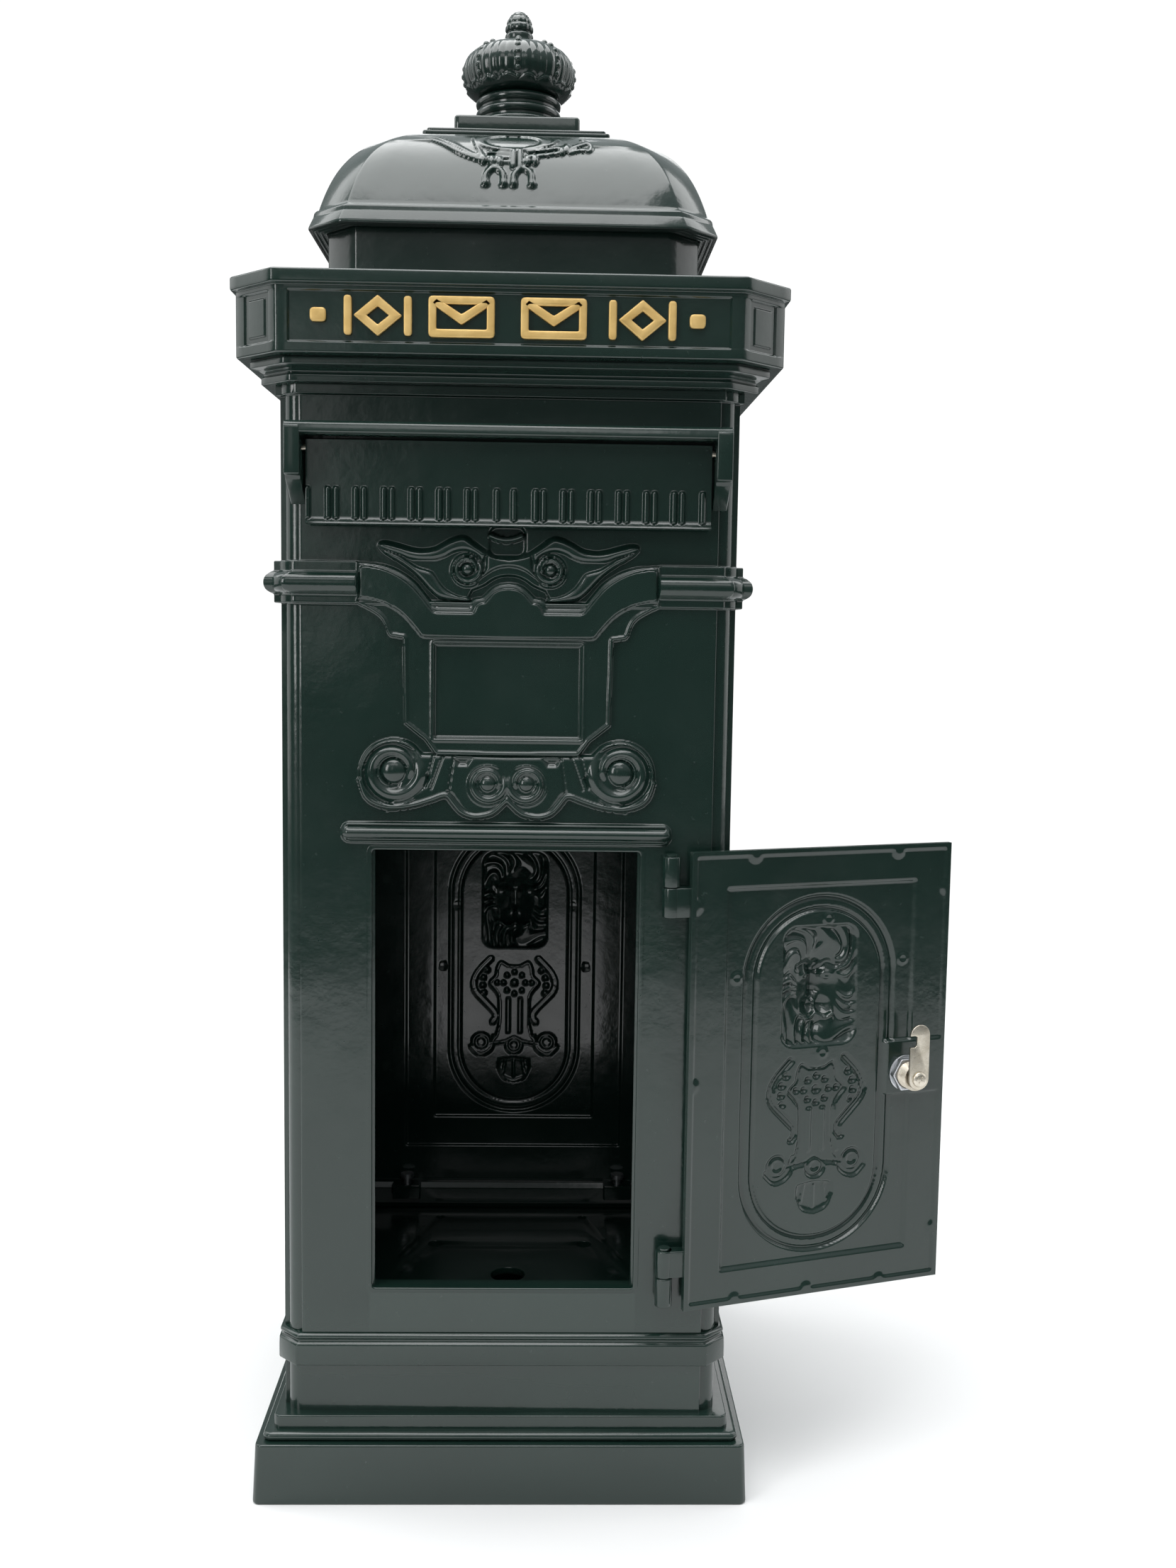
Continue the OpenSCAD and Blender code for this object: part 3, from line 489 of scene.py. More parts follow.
def octagon_grid(rows, fractions, relief=None, edge=0.9):
    """Rings round an eight-sided plan. Each row is half width, height and corner cut.

    fractions holds the columns of a main face and of a corner cut, from -1 to 1 across it.
    relief(side, along, height) is how far a point stands out from its face.
    """
    rings = []
    for half, z, cut in rows:
        ring = []
        for side in range(8):
            long_side = side % 2 == 0
            length = half - cut if long_side else cut / math.sqrt(2)
            away = half if long_side else (2 * half - cut) / math.sqrt(2)
            length = max(length - min(edge, 0.3 * length), 0.05)
            along = np.array(fractions[side % 2]) * length
            out = away + (relief(side, along, z) if relief else 0)
            turn = math.radians(45 * side)
            x = along * math.cos(turn) + out * math.sin(turn)
            y = along * math.sin(turn) - out * math.cos(turn)
            ring.append(np.stack([x, y, np.full_like(along, z)], 1))
        rings.append(np.concatenate(ring))
    return np.array(rings)


def even(count):
    return np.linspace(-1, 1, count)


def both_sides(*shares):
    return np.array([*(-s for s in reversed(shares)), 0, *shares], float)


def spread(rows, count):
    """Rows of three values, filled in to the given count."""
    rows = np.array(rows, float)
    t, at = np.linspace(0, 1, count), np.linspace(0, 1, len(rows))
    return np.stack([np.interp(t, at, rows[:, k]) for k in range(3)], 1)


def ring_at(plan, z):
    """A plan's points at one height."""
    return np.column_stack([plan, np.full(len(plan), z)])


SQUARE = (even(3), even(2))


def casting(bm, outer_rows, inner_rows, fractions=SQUARE, relief=None, radius=1.2, edge=0.9):
    """A hollow eight-sided casting: its outer skin, then its inner skin, closed into one loop."""
    outer = soften(outer_rows, radius)
    inner = spread(inner_rows, len(outer))
    sheet_of(bm, octagon_grid(outer, fractions, relief, edge), octagon_grid(inner, fractions, None, edge),
             wrap=True, edge=0.5)


# ---------- body panels ----------

WAIST_Z = 602.0


def panel_rows(extra=()):
    """Heights of a panel's rows, and how far the body stands out at each: waist band, then top fillet."""
    waist = [(0, 0), (0, 4), (5.5, 4), (6.5, 6)]
    waist += [(13 - 6 * math.cos(a), 6 + 4 * math.sin(a)) for a in np.linspace(0.3, math.pi - 0.3, 9)]
    waist += [(19.8, 6), (20.6, 4), (27, 4), (27, 0)]
    top = [(BODY_TOP - 6, 0), (BODY_TOP - 6, 2.5), (BODY_TOP, 2.5)]
    profile = soften([(BODY_Z, 0.0), *[(WAIST_Z + z, out) for z, out in waist], *top], 0.9)
    more = [z for z in extra if np.min(np.abs(profile[:, 0] - z)) > 0.35]
    heights = np.array([*profile[:, 0], *more])
    growth = np.array([*profile[:, 1], *np.interp(more, profile[:, 0], profile[:, 1])])
    order = np.argsort(heights, kind="stable")
    return heights[order], growth[order]


def corner_path(grow):
    """Plan of the front right corner: the flat face's end, the step, and the quarter-round column."""
    radius = COLUMN + grow
    lean = math.asin(min(grow / radius, 1.0)) if grow > 0 else 0.0
    stand = math.sqrt(radius ** 2 - grow ** 2)
    path = [(FLAT + grow - 0.4, -(BODY + grow)), (FLAT + grow, -(BODY + grow) + 0.4),
            (FLAT + grow, -(FLAT + stand) - 0.2)]
    for a in np.linspace(-math.pi / 2 + lean, -lean, 9):
        path.append((FLAT + radius * math.cos(a), -FLAT + radius * math.sin(a)))
    return np.array(path)


def between_corners(face, corner):
    """A plan that runs over the left corner, the face and the right corner."""
    return np.concatenate([(corner * [-1, 1])[::-1], face, corner])


def face_panel(bm, columns, rows_extra, relief, hollow, banded, openings=()):
    """A front or back panel: flat face with relief, plus both corner columns.

    relief and hollow give the height of the outer and the inner face; banded says where the waist band runs.
    """
    heights, growth = panel_rows(rows_extra)
    flat = np.array(sorted(columns))
    x, z = np.meshgrid(flat, heights)
    rise = relief(x, z) + growth[:, None] * banded(x, z)
    depth = hollow(x, z)
    stretch = np.clip((np.abs(flat) - 0.8 * FLAT) / (0.2 * FLAT), 0, 1)
    outer, inner = [], []
    for row, (level, grow) in enumerate(zip(heights, growth)):
        right = corner_path(grow)
        face = np.stack([flat * (1 + stretch * (grow - 0.4) / FLAT), -(BODY + rise[row])], 1)
        outer.append(ring_at(between_corners(face, right), level))
        side = np.stack([np.full(len(right), FLAT - 6), np.linspace(-BODY + WALL, -FLAT + 0.2, len(right))], 1)
        back = np.stack([flat * (FLAT - 7) / flat.max(), -(BODY - WALL + depth[row])], 1)
        inner.append(ring_at(between_corners(back, side), level))
    outer, inner = np.array(outer), np.array(inner)
    keep = np.ones((outer.shape[0] - 1, outer.shape[1] - 1), bool)
    middle_x = (outer[:-1, :-1, 0] + outer[:-1, 1:, 0]) / 2
    middle_z = (outer[:-1, :-1, 2] + outer[1:, 1:, 2]) / 2
    corner = len(corner_path(0))
    for x0, x1, z0, z1 in openings:
        inside = (middle_x > x0) & (middle_x < x1) & (middle_z > z0) & (middle_z < z1)
        inside[:, :corner] = False
        inside[:, -corner:] = False
        keep &= ~inside
    sheet_of(bm, outer, inner, keep, edge=0.35)


ARCH = mirrored([
    *curve([(0, 616.8), (-5.5, 616.1), (-10.5, 613.6), (-14.5, 609.8), (-16.8, 607.6)], 3), (-21, 607.0),
    (-23.8, 605.4), (-25.2, 602.8), (-25.2, 601), (-45, 601),
    *curve([(-48.5, 602.4), (-54, 609.4), (-61, 617.4), (-70, 623.4), (-80, 627.2), (-90, 628.8), (-97.5, 629)], 4),
    (-97.5, 603.8),
    *curve([(-89, 603.0), (-79.5, 600.8), (-70, 595.2), (-62.6, 587.6), (-57.2, 581.0)], 5), (-54, 579.8), (0, 579.5)])
FIELD = mirrored([
    *curve([(0, 613.0), (-5.2, 612.3), (-9.8, 610.0), (-13.2, 606.4), (-15.4, 603.9)], 3), (-19, 603.0), (-21.0, 601.2),
    (-22.2, 597.9), (-23.4, 597.1), (-46.6, 597.1), (-48.6, 598.0),
    *curve([(-50.6, 600.4), (-56, 607.2), (-62, 613.8), (-70, 619.6), (-80, 624.0), (-90, 626.1), (-94, 626.2)], 4),
    (-95.6, 624.6), (-95.6, 606.4),
    *curve([(-88.4, 605.0), (-78.8, 602.4), (-69, 596.8), (-61.2, 588.8), (-56, 582.2)], 4), (-53, 581.4), (0, 581.2)])
SHIELD = mirrored([
    (0, 604), (-97.5, 604), *curve([(-96.9, 602.2), (-86, 596.5), (-80.6, 591.5), (-77.5, 583.5)], 4),
    (-75.9, 581.6), (-67.7, 580.4), (-66.5, 525.4), (-53.3, 515.0), (-46.5, 505.6), (0, 505.0)])
# The leaf scroll: its whole block, and the three bands that rise from it
WING = mirrored([
    (0, 633), (-8, 634.2),
    *curve([(-14, 637.4), (-20, 641.6), (-25, 645.2), (-29.5, 646.8), (-35, 645.8), (-41, 643.0), (-48, 639.2),
            (-56, 638.0), (-63, 639.0), (-71, 641.2), (-79, 642.8), (-83.4, 641.8), (-84.6, 638.8), (-81, 634.4),
            (-74, 630.2), (-66, 625.4), (-60, 620.4), (-55, 615.3), (-50, 609.8), (-45.6, 606.3), (-40, 604.6),
            (-32, 604.1)], 3), (-25.2, 604.0), (-24.8, 607.6),
    *curve([(-23, 611.0), (-20, 612.2), (-15, 614.5), (-10, 618), (-5, 620), (0, 620.5)], 3)])
UPPER_BAND = curve([
    (-15.6, 632), (-14.6, 635.6), (-20.6, 639.8), (-25, 643.2), (-29.2, 645.4), (-35, 644.2), (-41, 641.4),
    (-48, 637.6), (-56, 636.4), (-63, 637.2), (-71, 639.4), (-79, 641.2), (-83, 640.2), (-83.6, 638.4),
    (-77.5, 635.6), (-69.6, 633.2), (-64, 631.0), (-56, 629.9), (-48, 630.2), (-41, 632.2), (-36, 635.0),
    (-30, 636.6), (-24, 635.4), (-19, 632.0), (-17, 627.0)], 3)
LOWER_BAND = curve([
    (-84.0, 638.2), (-76, 635.2), (-69.5, 633.2), (-64.5, 629.8), (-59, 626.4), (-53, 624.6), (-48.6, 622.8),
    (-45.2, 617.8), (-41.5, 613.2), (-37, 610.2), (-31, 607.9), (-25.5, 606.9), (-25.5, 604.6), (-34, 604.8),
    (-41, 605.6), (-46, 607.4), (-50.6, 611.2), (-55.6, 616.6), (-60.8, 621.8), (-67, 626.6), (-75, 631.4)], 3)
BRIDGE = mirrored([
    (0, 633.4), (-8, 634.6), (-14.4, 636.6), (-16.2, 634), (-16.4, 626), *curve([(-19, 621.8), (-22, 617.0)], 3),
    *curve([(-19.6, 616.4), (-15, 619.2), (-10, 622.6), (-5, 624.6), (0, 625.2)], 3)])
LOWER = mirrored([
    (0, 505), (-62, 506), (-66, 500), *curve([(-78.4, 467.6), (-62.3, 469.9), (-48.4, 474.6), (-38.3, 478.4),
                                              (-34.2, 474.2), (-28, 466.4), (-18, 463.6), (-8, 467.2)], 5), (0, 475.0)])


def front_relief(x, z):
    """Heights of the front panel's cast ornament."""
    return only_where((z > 440) & (z < 660) & (np.abs(x) < 112), front_ornament, x, z)


def front_ornament(x, z):
    """Arch, shield, name plate, leaf scroll, lower scrolls, bar moulding and finger ledge."""
    ax = np.abs(x)
    # Shield with a beaded edge, and over it the arch, whose flat field stands up from a sloping border
    arch = region(x, z, ARCH)
    shield = region(x, z, SHIELD)
    h = highest(np.zeros_like(x), terrace(shield, 3.0, 1.4),
                np.where(shield < 0, 3.0, 0) + bead(shield + 1.2, 1.3, 1.0),
                terrace(arch + 0.4, 3.6, 1.2) + (arch < 0) * 0.8 * smooth(-arch / 3.6),
                terrace(region(x, z, FIELD), 6.2, 1.5))
    # Sunk name plate with a sloping frame
    plaque = rounded_box(x, z, 0, 546.7, 96.5, 62.5, 0.6)
    h = h + bead(plaque - 0.9, 1.1, 0.7)
    h = np.where(plaque < 0, np.maximum(h + plaque * 1.3, 0.4), h)
    # Leaf scroll above the arch
    h = highest(h, terrace(region(x, z, WING) + 0.9, 2.4, 2.0), terrace(region(x, z, BRIDGE) + 1.4, 4.6, 4.0))
    for band, height in ((UPPER_BAND, 5.6), (LOWER_BAND, 5.0)):
        sd = region(-ax, z, band)
        h = np.maximum(h, (sd < 0) * (1.6 + pillow(sd, height - 1.6, 3.4)))
    h = np.maximum(h, volute(-ax, z, -26.6, 625.0, 9.9, 7.2))
    # Lower scrolls: one broad band that ends in a large and a small volute
    low = region(x, z, LOWER)
    band = pillow(low, 3.6, 4.0)
    for line in ([(-47.7, 505.4), (-53.1, 484)], [(-41.7, 504.5), (-49.4, 483)], [(-34.8, 504.6), (-38.3, 479.5)]):
        band = band - (low < 0) * cord(-ax, z, line, 1.0, 0.9)
    cup = region(-ax, z, [(-36.5, 503.6), (-21.5, 503.6), (-25.5, 497.4), (-32.5, 497.4)])
    band = np.where(cup < 0, np.maximum(band + cup * 0.9, 1.2), band)
    h = np.maximum(h, np.where(z < 506, band, 0))
    trough = curve([(-76, 481), (-66, 480.4), (-58, 484), (-53, 490)], 5)
    h = np.where(z < 506, h - cord(-ax, z, trough, 3.4, 1.6) * (low < 0), h)
    rim = curve([(-95, 488), (-91.5, 478), (-85, 473.0), (-75, 470.9), (-62.3, 472.2), (-50, 475.9), (-42, 478.9),
                 (-38.2, 478.4), (-34, 473.2), (-29.2, 468.0), (-22, 465.5), (-14, 466.2), (-8, 468.8), (0, 476.4)], 4)
    # Bar moulding over the door: a round between two fillets
    bar = rounded_box(x, z, 0, 453.7, 215.5, 13.2, 5.5)
    h = highest(h, volute(-ax, z, -73.6, 494.4, 20.4, 6.0), volute(-ax, z, -12.6, 486.6, 13.4, 6.0),
                cord(-ax, z, rim, 2.3, 5.2), terrace(bar, 2.2, 0.9),
                bead(rounded_box(x, z, 0, 453.7, 206, 0.02, 0.01), 4.6, 6.2))
    h = h + bead(bar + 1.1, 0.8, 0.8)
    # Finger recess under the flap, with its curved ledge
    dip = rounded_box(x, z, -1.2, 643.0, 24.5, 20.4, 6.0)
    h = np.where(dip < 0.6, np.minimum(h, 0) - 2.6 * smooth(-dip / 2.4 + 0.25), h)
    ledge = curve([(-11.4, 646.4), (-7, 644.8), (-1.9, 644.1), (3.2, 644.8), (7.6, 646.4)], 5)
    return h + cord(x, z, ledge, 2.1, 5.6)


# ---------- the door's art, shared with its twin on the back panel ----------

def lyre(x, z):
    """Pressed lyre, centred on its rosette."""
    ax = np.abs(x)
    arm = line_distance(-ax, z, curve([(-20.7, 21.3), (-30.8, 10.7), (-35.2, 1.8), (-33.8, -7.1), (-25.5, -16.4),
                                       (-17.2, -25.4), (-16.4, -30.5), (-18.8, -34.0)], 6))
    body = region(x, z, mirrored([
        (0, 14.4), *curve([(-6, 15.2), (-12.0, 18.2), (-15.2, 12.6), (-16.2, 6.0), (-21.4, 0), (-16.4, -6.6),
                           (-13.4, -13.0), (-13.0, -30.0)], 4),
        (-13.4, -38), *curve([(-15.5, -46.5), (-22, -54.0)], 3), (-8, -52), (0, -48)]))
    h = highest(np.zeros_like(x), bead(arm, 2.6, 2.2) - bead(arm, 0.9, 0.8),
                *(knob(ax, z, kx, kz, 2.7, 1.9) for kx, kz in ((23.7, 11.2), (27.0, 4.7), (27.6, -2.0), (26.6, -8.6))),
                terrace(body, 1.6, 1.6) + bead(body, 1.3, 0.8))
    # Rosette of one large dot and its ring of small ones
    small = [(0, 9.4), (0, -9.4), (9.5, 0), (15.4, 0), (6.5, 6.6), (6.5, -6.6)]
    for kx, kz, size in ((0, 0, 3.2), *((*spot, 2.3) for spot in small)):
        rho = np.hypot(ax - kx, z - kz)
        h = np.maximum(h, (1.7 + bead(rho, size, 1.8)) * (rho < size))
    h = h - terrace(rounded_box(ax, z, 5.2, -28.5, 3.2, 31, 1.6), 1.5, 1.2)
    # Curls, feet and the drop below
    for sx, sz, r in ((28.6, -52.0, 8.4), (0.0, -54.4, 7.6)):
        rho = np.hypot(ax - sx, z - sz)
        h = np.maximum(h, terrace(rho - r, 1.9, 1.8))
        h = np.where(rho < r, h - bead(rho - r * 0.55, 1.4, 1.0), h)
    foot = curve([(-17, -47), (-21, -58), (-30, -62), (-37, -56)], 5)
    drop = region(x, z, mirrored([(0, -64), (-13.6, -66), *curve([(-14.6, -74), (-9.5, -84), (0, -87.5)], 5)]))
    h = highest(h, cord(-ax, z, foot, 2.4, 1.9), pillow(drop, 2.2, 4.5))
    for line in ([(-7.5, -68), (-9.5, -79)], [(0, -68), (0, -83)]):
        h = h - (drop < 0) * cord(-ax, z, line, 1.1, 0.9)
    return h


def lion(x, z):
    """Pressed lion mask in a rounded tablet, centred on the tablet."""
    ax = np.abs(x)
    tablet = rounded_box(x, z, 0, 0, 56, 82, 10)
    rho = np.hypot(x / 25.0, (z + 1) / 38.0)
    angle = np.arctan2(z + 1, x)
    h = terrace(tablet, 1.8, 1.5) + swell(rho, 1.05, 10.5) * (tablet < 0)
    # Mane: long locks that run outward round the face
    mane = smooth((rho - 0.60) / 0.22) * smooth(-tablet / 3.0)
    sway = angle + 0.16 * np.sin(5 * angle) + 0.22 * np.sin(rho * 5.5)
    h = h + mane * (0.8 + 1.15 * np.cos(17 * sway) + 0.35 * np.cos(37 * sway))
    # Face: brows, eyes, nose, muzzle, mouth and chin
    h = h + swell(line_distance(ax, z, curve([(3, 9), (8, 14.5), (14.5, 12.5)], 4)), 4.4, 2.4)
    h = h - swell(np.hypot((ax - 8.6) * 0.85, z - 5.6), 5.4, 3.0) + swell(np.hypot(ax - 8.6, (z - 5.4) * 1.5), 3.0, 1.8)
    h = h + swell(line_distance(ax, z, [(0, 13), (0, -5)]), 5.6, 3.2) + swell(np.hypot(x * 0.75, z + 8.5), 5.6, 2.0)
    h = h + swell(np.hypot((ax - 5.0) * 0.9, z + 16.0), 8.4, 3.4)
    h = h - swell(line_distance(ax, z, curve([(0, -12), (0, -19.5), (6.5, -23), (11.5, -20.5)], 4)), 1.9, 2.4)
    h = h + swell(np.hypot(x * 0.8, z + 27.5), 6.0, 2.2)
    return h * (tablet < 1.0)


def door_art(x, z, oval_w=114.0, oval_h=247.0):
    """Oval band with a lion mask above a lyre, centred on the oval."""
    oval = rounded_box(x, z, 0, 0, oval_w, oval_h, oval_w / 2 - 0.5)
    h = terrace(np.abs(oval + 5.5) - 5.5, 1.4, 1.4)
    h = h + bead(oval + 1.6, 1.6, 1.3) + bead(oval + 9.4, 1.6, 1.3)
    h = np.maximum(h, lion(x, z - 61.5))
    return np.maximum(h, lyre(x, z + 10.5))


BORE, BORE_REACH = 9.4, 13.0                  # radius of the lock's hole, and of the grid that is drawn to it
OVAL_Z = DOOR_Z + 153.5
DOOR_MID = DOOR_RIGHT - DOOR_W / 2
MARKS = [(102.5, 261), (100.6, 168), (35, 224), (161, 230)]
EDGE_MARKS = [(37.5, 2.5), (92, 3), (149, 2), (193, 279), (192, 35), (46, 307), (154, 306), (3, 274), (2.5, 153)]


def door_outside(x, z):
    field = rounded_box(x, z, DOOR_MID, DOOR_Z + 154.5, 141, 260, 0.8)
    h = terrace(field, FIELD_RISE, 2.6) + door_art(x - DOOR_MID, z - OVAL_Z)
    return h + bead(rounded_box(x, z, DOOR_MID, DOOR_Z + DOOR_H / 2, 188, 303, 2) + 0.5, 1.4, 0.7)


def door_inside(x, z):
    """Depth of the door's inner face: the pressing seen from behind, its rim, casting marks and lock land."""
    s, t = DOOR_RIGHT - x, z - DOOR_Z
    rim = rounded_box(s, t, DOOR_W / 2, DOOR_H / 2, DOOR_W - 8, DOOR_H - 8, 1.5)
    h = terrace(rim, 1.1, 1.6)
    field = rounded_box(s, t, 97.5, 154.5, 141, 260, 0.8)
    h = h + terrace(field, FIELD_RISE - 0.9, 3.2) + door_art(x - DOOR_MID, z - OVAL_Z, 115, 248) * 0.92
    for ms, mt in MARKS:
        rho = np.hypot(s - ms, t - mt)
        h = h - bead(rho, 4.2, 0.9) + bead(rho, 2.2, 0.7)
    for ms, mt in EDGE_MARKS:
        h = h * smooth(np.hypot(s - ms, t - mt) / 5.0 - 0.4)
    land = rounded_box(s, t, 175.5, 154, 53, 38, 1.0)
    return h * smooth(land / 1.2 + 0.5)


def door_leaf(bm):
    xs = np.linspace(DOOR_RIGHT - DOOR_W, DOOR_RIGHT, 236)
    zs = np.linspace(DOOR_Z, DOOR_Z + DOOR_H, 374)
    x, z = np.meshgrid(xs, zs)
    outer = np.stack([x, DOOR_BACK - DOOR_T - door_outside(x, z), z], 2)
    inner = np.stack([x, DOOR_BACK - door_inside(x, z), z], 2)
    lock_x, lock_z = LOCK
    # The grid round the lock is pulled out to the rim of its bore
    bore = np.hypot(x - lock_x, z - lock_z)
    pull = BORE + (bore - BORE) * np.clip((bore - BORE) / (BORE_REACH - BORE), 0, 1)
    pull = pull / np.maximum(bore, 1e-6)
    near = (bore > 8) & (bore < BORE_REACH)
    middle = np.hypot((x[:-1, :-1] + x[1:, 1:]) / 2 - lock_x, (z[:-1, :-1] + z[1:, 1:]) / 2 - lock_z)
    for grid in (outer, inner):
        grid[..., 0] = np.where(near, lock_x + (x - lock_x) * pull, x)
        grid[..., 2] = np.where(near, lock_z + (z - lock_z) * pull, z)
    sheet_of(bm, outer, inner, middle > 9.0, edge=0.5)
    for z0, z1 in KNUCKLES["door"]:
        knuckle(bm, z0, z1, DOOR_RIGHT - 5, HINGE[1] + 3.5, 8.0)


KNUCKLES = {"door": [(401, 420.6), (157, 175.4)], "body": [(421, 441), (136.8, 156.6)]}
KNUCKLE_R = 5.8


def knuckle(bm, z0, z1, root_x, root_y, width):
    """A hinge knuckle with a web that blends into its root."""
    profile = soften([(0.02, z0), (KNUCKLE_R, z0), (KNUCKLE_R, z1), (0.02, z1)], 0.8)
    turned(bm, profile, HINGE[0], HINGE[1], 40)
    start, end = HINGE[:2], np.array([root_x, root_y])
    along = (end - start) / np.hypot(*(end - start))
    across = np.array([-along[1], along[0]])
    web = [start + across * KNUCKLE_R * 0.86, start - across * KNUCKLE_R * 0.86,
           end - across * width / 2, end + across * width / 2]
    plate(bm, [outlined(web, 1.0)], z1 - z0, lifted((z0 + z1) / 2), 0.7)


def shut_to_open():
    """Swings geometry drawn with the door shut to where the door stands at rest."""
    pivot = Vector((HINGE[0], HINGE[1], 0))
    return Matrix.Translation(pivot) @ Matrix.Rotation(DOOR_OPEN, 4, "Z") @ Matrix.Translation(-pivot)


LOCK_MID = shut_to_open().inverted() @ Vector((span("lock_body")[0] + span("lock_body")[1]) / 2)
LOCK = (LOCK_MID.x, LOCK_MID.z)


# ---------- the pieces ----------

def snapped(lines, specials):
    """Evenly spaced lines, with the nearest one moved onto each special place."""
    lines = np.array(lines, float)
    for special in specials:
        if lines.min() < special < lines.max():
            lines[np.argmin(np.abs(lines - special))] = special
        else:
            lines = np.append(lines, special)
    return np.sort(lines)


def nothing(x, z):
    return np.zeros_like(x)


def everywhere(x, z):
    return np.ones_like(x)


def lugs(bm, z0, z1):
    """Screw lugs inside the body, two on each side."""
    for turn in range(4):
        for x in (-90, 90):
            spot = Matrix.Rotation(math.radians(90 * turn), 4, "Z") @ lifted((z0 + z1) / 2, x, -137.0)
            plate(bm, [rectangle(0, 0, 24, 16, 2), circle(0, 0.5, 3.1, 20)], z1 - z0, spot, 0.6)


OPENING_HALF, OPENING_Z = 90, (142, 444)
SLOT_HALF, SLOT_Z = 122, (660, 696)


def beside_arch(x, z):
    """The waist band stops at the arch's ends; the top fillet runs right across."""
    return np.maximum(smooth((np.abs(x) - 96.2) / 1.4), z > 700)


def front_panel(bm):
    fine = np.arange(-111, 111.1, 0.7)
    columns = snapped([*np.arange(-133, -112, 3.5), *fine, *np.arange(112.5, 134, 3.5)],
                      [-SLOT_HALF, -OPENING_HALF, OPENING_HALF, SLOT_HALF])
    rows = snapped(np.arange(444, 658, 0.7), [*OPENING_Z, *SLOT_Z, 715])
    openings = [(-OPENING_HALF, OPENING_HALF, *OPENING_Z), (-SLOT_HALF, SLOT_HALF, *SLOT_Z)]
    face_panel(bm, columns, rows, front_relief, nothing, beside_arch, openings)
    plate(bm, [rectangle(0, 293, 184, 306, 6), rectangle(0, 293, 176, 298, 2.4)], 14.2,
          facing_front(-BODY + 7.0), 0.9)
    plate(bm, [rectangle(0, 678, 250, 42, 8), rectangle(0, 678, 240, 32, 3)], 8, facing_front(-BODY), 1.2)
    for z0, z1 in KNUCKLES["body"]:
        knuckle(bm, z0, z1, HINGE[0], -BODY, 10.6)


def back_outside(x, z):
    """The door's pressing in its frame, with four small bosses beside it."""
    h = terrace(rounded_box(x, z, 0, 294.5, 187, 302, 1.5), 2.0, 2.2)
    h = h + terrace(rounded_box(x, z, 0, 295, 138, 253, 1.0), 2.2, 2.4)
    for mx, mz in ((-50, 352), (50, 352), (-62, 300), (62, 300)):
        h = h + knob(x, z, mx, mz, 4.0, 1.0)
    near = (z > 165) & (z < 430) & (np.abs(x) < 62)
    return h + only_where(near, lambda x, z: door_art(x, z - 295.6), x, z)


def back_hollow(x, z):
    return back_outside(x, z) * 0.95


def back_panel(bm):
    columns = [*np.arange(-133, -98, 4.0), *np.arange(-97, -89, 0.8), *np.arange(-88, -72, 3.0),
               *np.arange(-71, -64, 1.0), *np.arange(-63, 63.1, 0.95), *np.arange(64, 71.5, 1.0),
               *np.arange(73, 89, 3.0), *np.arange(89.6, 97.2, 0.8), *np.arange(98.5, 134, 4.0)]
    rows = [*np.arange(116, 140, 6.0), *np.arange(141.5, 147, 0.8), *np.arange(148, 166, 3.0),
            *np.arange(166.5, 424, 0.95), *np.arange(425, 442, 3.0), *np.arange(443, 448, 0.8),
            *np.arange(460, 730, 20.0)]
    face_panel(bm, columns, rows, back_outside, back_hollow, everywhere)
    bmesh.ops.rotate(bm, verts=bm.verts, matrix=Matrix.Rotation(math.pi, 3, "Z"))


def side_panel(bm, hand):
    """A plain side with the waist band running across it. hand is 1 for right, -1 for left."""
    outer, inner = [], []
    for z, grow in zip(*panel_rows(np.arange(130, 720, 30.0))):
        half = FLAT + grow - 0.15
        ys = np.array([-half, -half + 1.2, *np.linspace(-0.8, 0.8, 7) * half, half - 1.2, half])
        for skin, x in ((outer, BODY + grow), (inner, BODY - WALL)):
            skin.append(np.stack([np.full_like(ys, hand * x), ys, np.full_like(ys, z)], 1))
    sheet_of(bm, np.array(outer), np.array(inner), edge=0.6)


def body_loop(scale=1.0):
    """Whole plan of the body with its four corner columns."""
    corner = corner_path(0.0)
    loop = [corner @ np.array([[math.cos(t), math.sin(t)], [-math.sin(t), math.cos(t)]])
            for t in np.radians([0, 90, 180, 270])]
    return np.concatenate(loop) * scale


